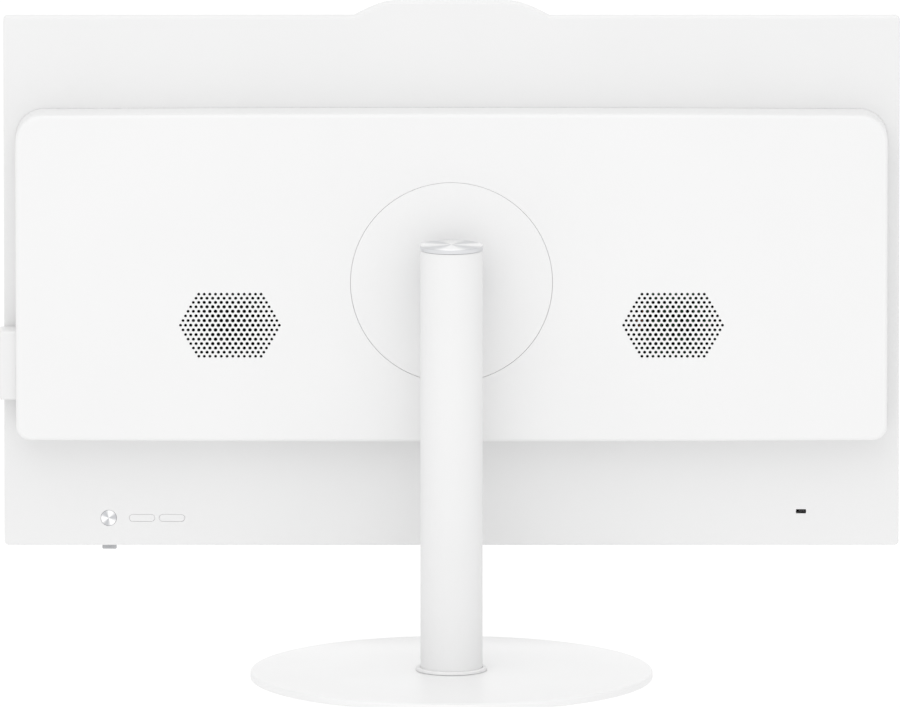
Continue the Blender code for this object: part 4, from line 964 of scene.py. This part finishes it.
smoked_lens, shader = new_material("smoked_polycarbonate", "#ACADB0", 0.22, IOR=1.58, Coat_Weight=0.3)
place = add(smoked_lens, "ShaderNodeTexCoord")
depth = add(
    smoked_lens, "ShaderNodeTexNoise",
    {"Vector": place.outputs["Object"], "Scale": 1 / (2.5 * MM), "Detail": 2.0},
)
tone = add(
    smoked_lens, "ShaderNodeMix",
    {"Factor": depth.outputs["Fac"], "A": linear("#A2A3A6"), "B": linear("#BCBDC0")},
    data_type="RGBA",
)
link(smoked_lens, tone.outputs["Result"], shader.inputs["Base Color"])
lens_low, lens_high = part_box("status_lens")
LENS_SPREAD = 0.9 * MM
LENS_EDGE = 0.9 * MM
light_pipe = slab("light_pipe", lens_low - Vector((LENS_SPREAD, 0, 0)), lens_high, LENS_EDGE, 4)
install(light_pipe, smoked_lens, "grey_lens", "display", "status_lens")

# ---- Front frame and screen ----------------------------------------------------------------
# One white ABS moulding carries the glass: 3.5 mm wide at the sides and the top, with a deeper
# chin, and a hump over the camera. The glass has a black printed border round the panel.

frame_low, frame_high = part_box("front_frame")
glass_low, glass_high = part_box("lcd_panel")
FRAME_WALL = 2.2 * MM
FRAME_EDGE = 0.8 * MM
GLASS_GAP = 0.25 * MM
GLASS_CORNER_R = 0.5 * MM
CAMERA_RISE = 2.5 * MM
SHUTTER_RISE = 3.7 * MM
CAMERA_Z = back_high.z - HUMP_HEIGHT + CAMERA_RISE
CAMERA_HOLE_R = 2.2 * MM
SHUTTER_Z = CAMERA_Z + SHUTTER_RISE
shutter_low, shutter_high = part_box("camera_shutter")
SHUTTER_X = middle_of("camera_shutter").x
TAB_HALF = 2.5 * MM
TAB_GAP = 0.3 * MM
TAB_SLOT_HALF = 1 * MM
TAB_SLOT_R = 0.95 * MM
SHUTTER_TRAVEL = 8 * MM
frame_openings = [
    outline_of(
        glass_low.x - GLASS_GAP, glass_high.x + GLASS_GAP, glass_low.z - GLASS_GAP, glass_high.z + GLASS_GAP,
        GLASS_CORNER_R, GLASS_CORNER_R, steps=4,
    ),
    circle(0, CAMERA_Z, CAMERA_HOLE_R, 48),
    outline_of(
        SHUTTER_X - TAB_HALF - TAB_GAP, SHUTTER_X + TAB_HALF + TAB_GAP + SHUTTER_TRAVEL,
        SHUTTER_Z - TAB_SLOT_HALF, SHUTTER_Z + TAB_SLOT_HALF, TAB_SLOT_R, TAB_SLOT_R, steps=8,
    ),
]
moulded_frame = moulding(
    "moulded_frame", display_outline, frame_openings, frame_low.y, frame_high.y, FRAME_WALL, FRAME_EDGE
)
install(moulded_frame, display_abs_painted_darker, "white_plastic", "display", "front_frame")
sharpen_flat_faces(moulded_frame, frame_low.y)

# Etched glass over a switched-off panel: black, with a soft anti-glare sheen. The border is
# printed black behind the glass, and the picture area is a shade bluer and lighter.
BORDER = 2.6 * MM
CHIN_BORDER = 4.4 * MM
screen_glass, shader = new_material("etched_screen_glass", "#070708", 0.16, IOR=1.5, Specular_IOR_Level=0.25)
place = add(screen_glass, "ShaderNodeTexCoord")
across = add(screen_glass, "ShaderNodeSeparateXYZ", {"Vector": place.outputs["Object"]})
PICTURE = (
    ("X", glass_low.x + BORDER, glass_high.x - BORDER),
    ("Z", glass_low.z + CHIN_BORDER, glass_high.z - BORDER),
)
inside = []
for socket, start, end in PICTURE:
    within = add(
        screen_glass, "ShaderNodeMath",
        {0: across.outputs[socket], 1: (start + end) / 2, 2: (end - start) / 2},
        operation="COMPARE",
    )
    inside.append(within.outputs[0])
active = add(screen_glass, "ShaderNodeMath", {0: inside[0], 1: inside[1]}, operation="MULTIPLY")
tone = add(
    screen_glass, "ShaderNodeMix",
    {"Factor": active.outputs[0], "A": linear("#050505"), "B": linear("#0E0F12")},
    data_type="RGBA",
)
link(screen_glass, tone.outputs["Result"], shader.inputs["Base Color"])
etch = add(screen_glass, "ShaderNodeTexNoise", {"Vector": place.outputs["Object"], "Scale": 1 / (0.5 * MM)})
bump = add(
    screen_glass, "ShaderNodeBump", {"Height": etch.outputs["Fac"], "Strength": 0.02, "Distance": 0.01 * MM}
)
link(screen_glass, bump.outputs["Normal"], shader.inputs["Normal"])
GLASS_EDGE = 0.3 * MM
screen_pane = slab("screen_pane", glass_low, glass_high, GLASS_EDGE, 2)
install(screen_pane, screen_glass, "screen_glass", "display", "lcd_panel")

# ---- Camera and its shutter ----------------------------------------------------------------
# A small camera stands behind a hole in the hump: a glass lens in a black barrel. A black blade
# slides in front of it, moved by a white ABS tab in the slot above the hole.

EYE_R = 1.7 * MM
EYE_BULGE = 0.25 * MM
EYE_SEAT = 0.3 * MM

# Ground glass with a magnesium fluoride coating: near black, with the coating's violet reflection painted
# into its colour in the middle as a painted reflection.
lens_glass, shader = new_material("coated_lens_glass", "#0A0A14", 0.05, IOR=1.52, Coat_Weight=1.0)
place = add(lens_glass, "ShaderNodeTexCoord")
eye_wide = add(
    lens_glass, "ShaderNodeMapping", {"Vector": place.outputs["Object"], "Scale": (1 / EYE_R,) * 3}
)
rings = add(
    lens_glass, "ShaderNodeTexGradient", {"Vector": eye_wide.outputs["Vector"]}, gradient_type="SPHERICAL"
)
tone = add(
    lens_glass, "ShaderNodeMix",
    {"Factor": rings.outputs["Fac"], "A": linear("#050507"), "B": linear("#1B1A3A")},
    data_type="RGBA",
)
link(lens_glass, tone.outputs["Result"], shader.inputs["Base Color"])
EYE_STEPS = 10
angles = [math.pi / 2 * step / EYE_STEPS for step in range(EYE_STEPS + 1)]
eye_profile = [(EYE_R * math.sin(a), EYE_BULGE * math.cos(a)) for a in angles]
eye_profile += [(EYE_R, -EYE_SEAT), (0, -EYE_SEAT)]
camera_eye = lathe("camera_eye", eye_profile, (0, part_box("camera_module")[0].y, CAMERA_Z), "Y", 64)
camera_eye.rotation_euler = (math.pi / 2, 0, 0)
install(camera_eye, lens_glass, "screen_glass", "display")

BLADE_THICKNESS = 0.6 * MM
BLADE_EDGE = 0.15 * MM
TAB_RECESS = 0.2 * MM
TAB_HEIGHT = 1.5 * MM
TAB_EDGE = 0.3 * MM
blade_front = shutter_high.y - BLADE_THICKNESS
blade = slab("shutter_blade", (shutter_low.x, blade_front, shutter_low.z), shutter_high, BLADE_EDGE, 2)
install(blade, black_plastic, "black_plastic", "shutter", "camera_shutter")
tab = slab(
    "shutter_tab",
    (SHUTTER_X - TAB_HALF, frame_low.y + TAB_RECESS, SHUTTER_Z - TAB_HEIGHT / 2),
    (SHUTTER_X + TAB_HALF, blade_front, SHUTTER_Z + TAB_HEIGHT / 2),
    TAB_EDGE,
)
install(tab, key_abs, "white_plastic", "shutter")

# ---- Metal pieces that keep their plain solids ---------------------------------------------
# Pressed steel is zinc-plated, with the faint spangle and rolling lines of sheet. The heat pipe
# and the processor's plate are bare copper, and the hinge's washers are bronze.

zinc_steel, shader = new_material("zinc_plated_steel", "#BFC2C6", 0.36, Metallic=1.0)
place = add(zinc_steel, "ShaderNodeTexCoord")
spangle = add(zinc_steel, "ShaderNodeTexVoronoi", {"Vector": place.outputs["Object"], "Scale": 1 / (5 * MM)})
tone = add(
    zinc_steel, "ShaderNodeMix",
    {"Factor": spangle.outputs["Color"], "A": linear("#B2B5B9"), "B": linear("#CDD0D3")},
    data_type="RGBA",
)
link(zinc_steel, tone.outputs["Result"], shader.inputs["Base Color"])
stretched = add(zinc_steel, "ShaderNodeMapping", {"Vector": place.outputs["Object"], "Scale": (0.04, 1, 1)})
rolling = add(
    zinc_steel, "ShaderNodeTexNoise",
    {"Vector": stretched.outputs["Vector"], "Scale": 1 / (0.5 * MM), "Detail": 2.0},
)
bump = add(
    zinc_steel, "ShaderNodeBump", {"Height": rolling.outputs["Fac"], "Strength": 0.1, "Distance": 0.03 * MM}
)
link(zinc_steel, bump.outputs["Normal"], shader.inputs["Normal"])

# Copper, left bare: a warm, soft metal that tarnishes in patches.
bare_copper, shader = new_material("bare_copper", "#C4785A", 0.3, Metallic=1.0)
place = add(bare_copper, "ShaderNodeTexCoord")
tarnish = add(
    bare_copper, "ShaderNodeTexNoise",
    {"Vector": place.outputs["Object"], "Scale": 1 / (9 * MM), "Detail": 5.0},
)
tone = add(
    bare_copper, "ShaderNodeMix",
    {"Factor": tarnish.outputs["Fac"], "A": linear("#A25F45"), "B": linear("#DB9372")},
    data_type="RGBA",
)
link(bare_copper, tone.outputs["Result"], shader.inputs["Base Color"])

# ---- Circuit boards, light guide and black parts that keep their plain solids --------------
# Glass-epoxy boards under green solder lacquer, with the copper tracks just showing through. The
# light guide is clear cast acrylic with a fine dot print. Fan, speakers and filters are black.

green_lacquer, shader = new_material("green_solder_lacquer", "#14502E", 0.34, Coat_Weight=0.4)
place = add(green_lacquer, "ShaderNodeTexCoord")
lying = add(
    green_lacquer, "ShaderNodeMapping", {"Vector": place.outputs["Object"], "Rotation": (math.pi / 2, 0, 0)}
)
tracks = add(
    green_lacquer, "ShaderNodeTexBrick",
    {
        "Vector": lying.outputs["Vector"], "Scale": 1 / (10 * MM), "Mortar Size": 0.035, "Brick Width": 0.9,
        "Row Height": 0.16, "Color1": linear("#124A2A"), "Color2": linear("#185A34"),
        "Mortar": linear("#2F7A4A"),
    },
)
link(green_lacquer, tracks.outputs["Color"], shader.inputs["Base Color"])
bump = add(
    green_lacquer, "ShaderNodeBump",
    {"Height": tracks.outputs["Fac"], "Strength": 0.3, "Distance": 0.05 * MM},
)
link(green_lacquer, bump.outputs["Normal"], shader.inputs["Normal"])

cast_acrylic, shader = new_material("clear_cast_acrylic", "#F2F6F8", 0.06, IOR=1.49, Transmission_Weight=0.9)
place = add(cast_acrylic, "ShaderNodeTexCoord")
dots = add(
    cast_acrylic, "ShaderNodeTexVoronoi", {"Vector": place.outputs["Object"], "Scale": 1 / (1.5 * MM)}
)
frost = add(
    cast_acrylic, "ShaderNodeMapRange",
    {"Value": dots.outputs["Distance"], "From Max": 0.4, "To Min": 0.5, "To Max": 0.05},
)
link(cast_acrylic, frost.outputs["Result"], shader.inputs["Roughness"])

# Dust filter of black woven nylon behind each vent: it swallows the light.
filter_nylon, shader = new_material("black_filter_nylon", "#050505", 0.9, Specular_IOR_Level=0.1)
place = add(filter_nylon, "ShaderNodeTexCoord")
mesh = add(
    filter_nylon, "ShaderNodeTexVoronoi", {"Vector": place.outputs["Object"], "Scale": 1 / (0.8 * MM)}
)
bump = add(
    filter_nylon, "ShaderNodeBump",
    {"Height": mesh.outputs["Distance"], "Strength": 0.4, "Distance": 0.1 * MM},
)
link(filter_nylon, bump.outputs["Normal"], shader.inputs["Normal"])

FINISHES = (
    (zinc_steel, """base_bolt hinge_pin tilt_bracket bracket_screw_1 bracket_screw_2 bracket_screw_3
        bracket_screw_4 backlight_tray chassis_plate wireless_card clock_cell neck_set_screw_1
        neck_set_screw_2"""),
    (plated_shell, "port_bracket dc_inlet video_port network_jack rear_usb_port_1 rear_usb_port_2"),
    (die_casting, "column_foot_plug heat_sink"),
    (bare_copper, "heat_pipe processor_plate hinge_washer_left hinge_washer_right"),
    (green_lacquer, "main_board memory_module_1 memory_module_2 button_board"),
    (black_plastic, """fan_housing fan_rotor speaker_left speaker_right camera_module
        solid_state_drive lock_slot_plate"""),
    (filter_nylon, "vent_grille_left vent_grille_right"),
    (cast_acrylic, "light_guide"),
)
for finish, names in FINISHES:
    for name in names.split():
        paint(NODES[name], finish)
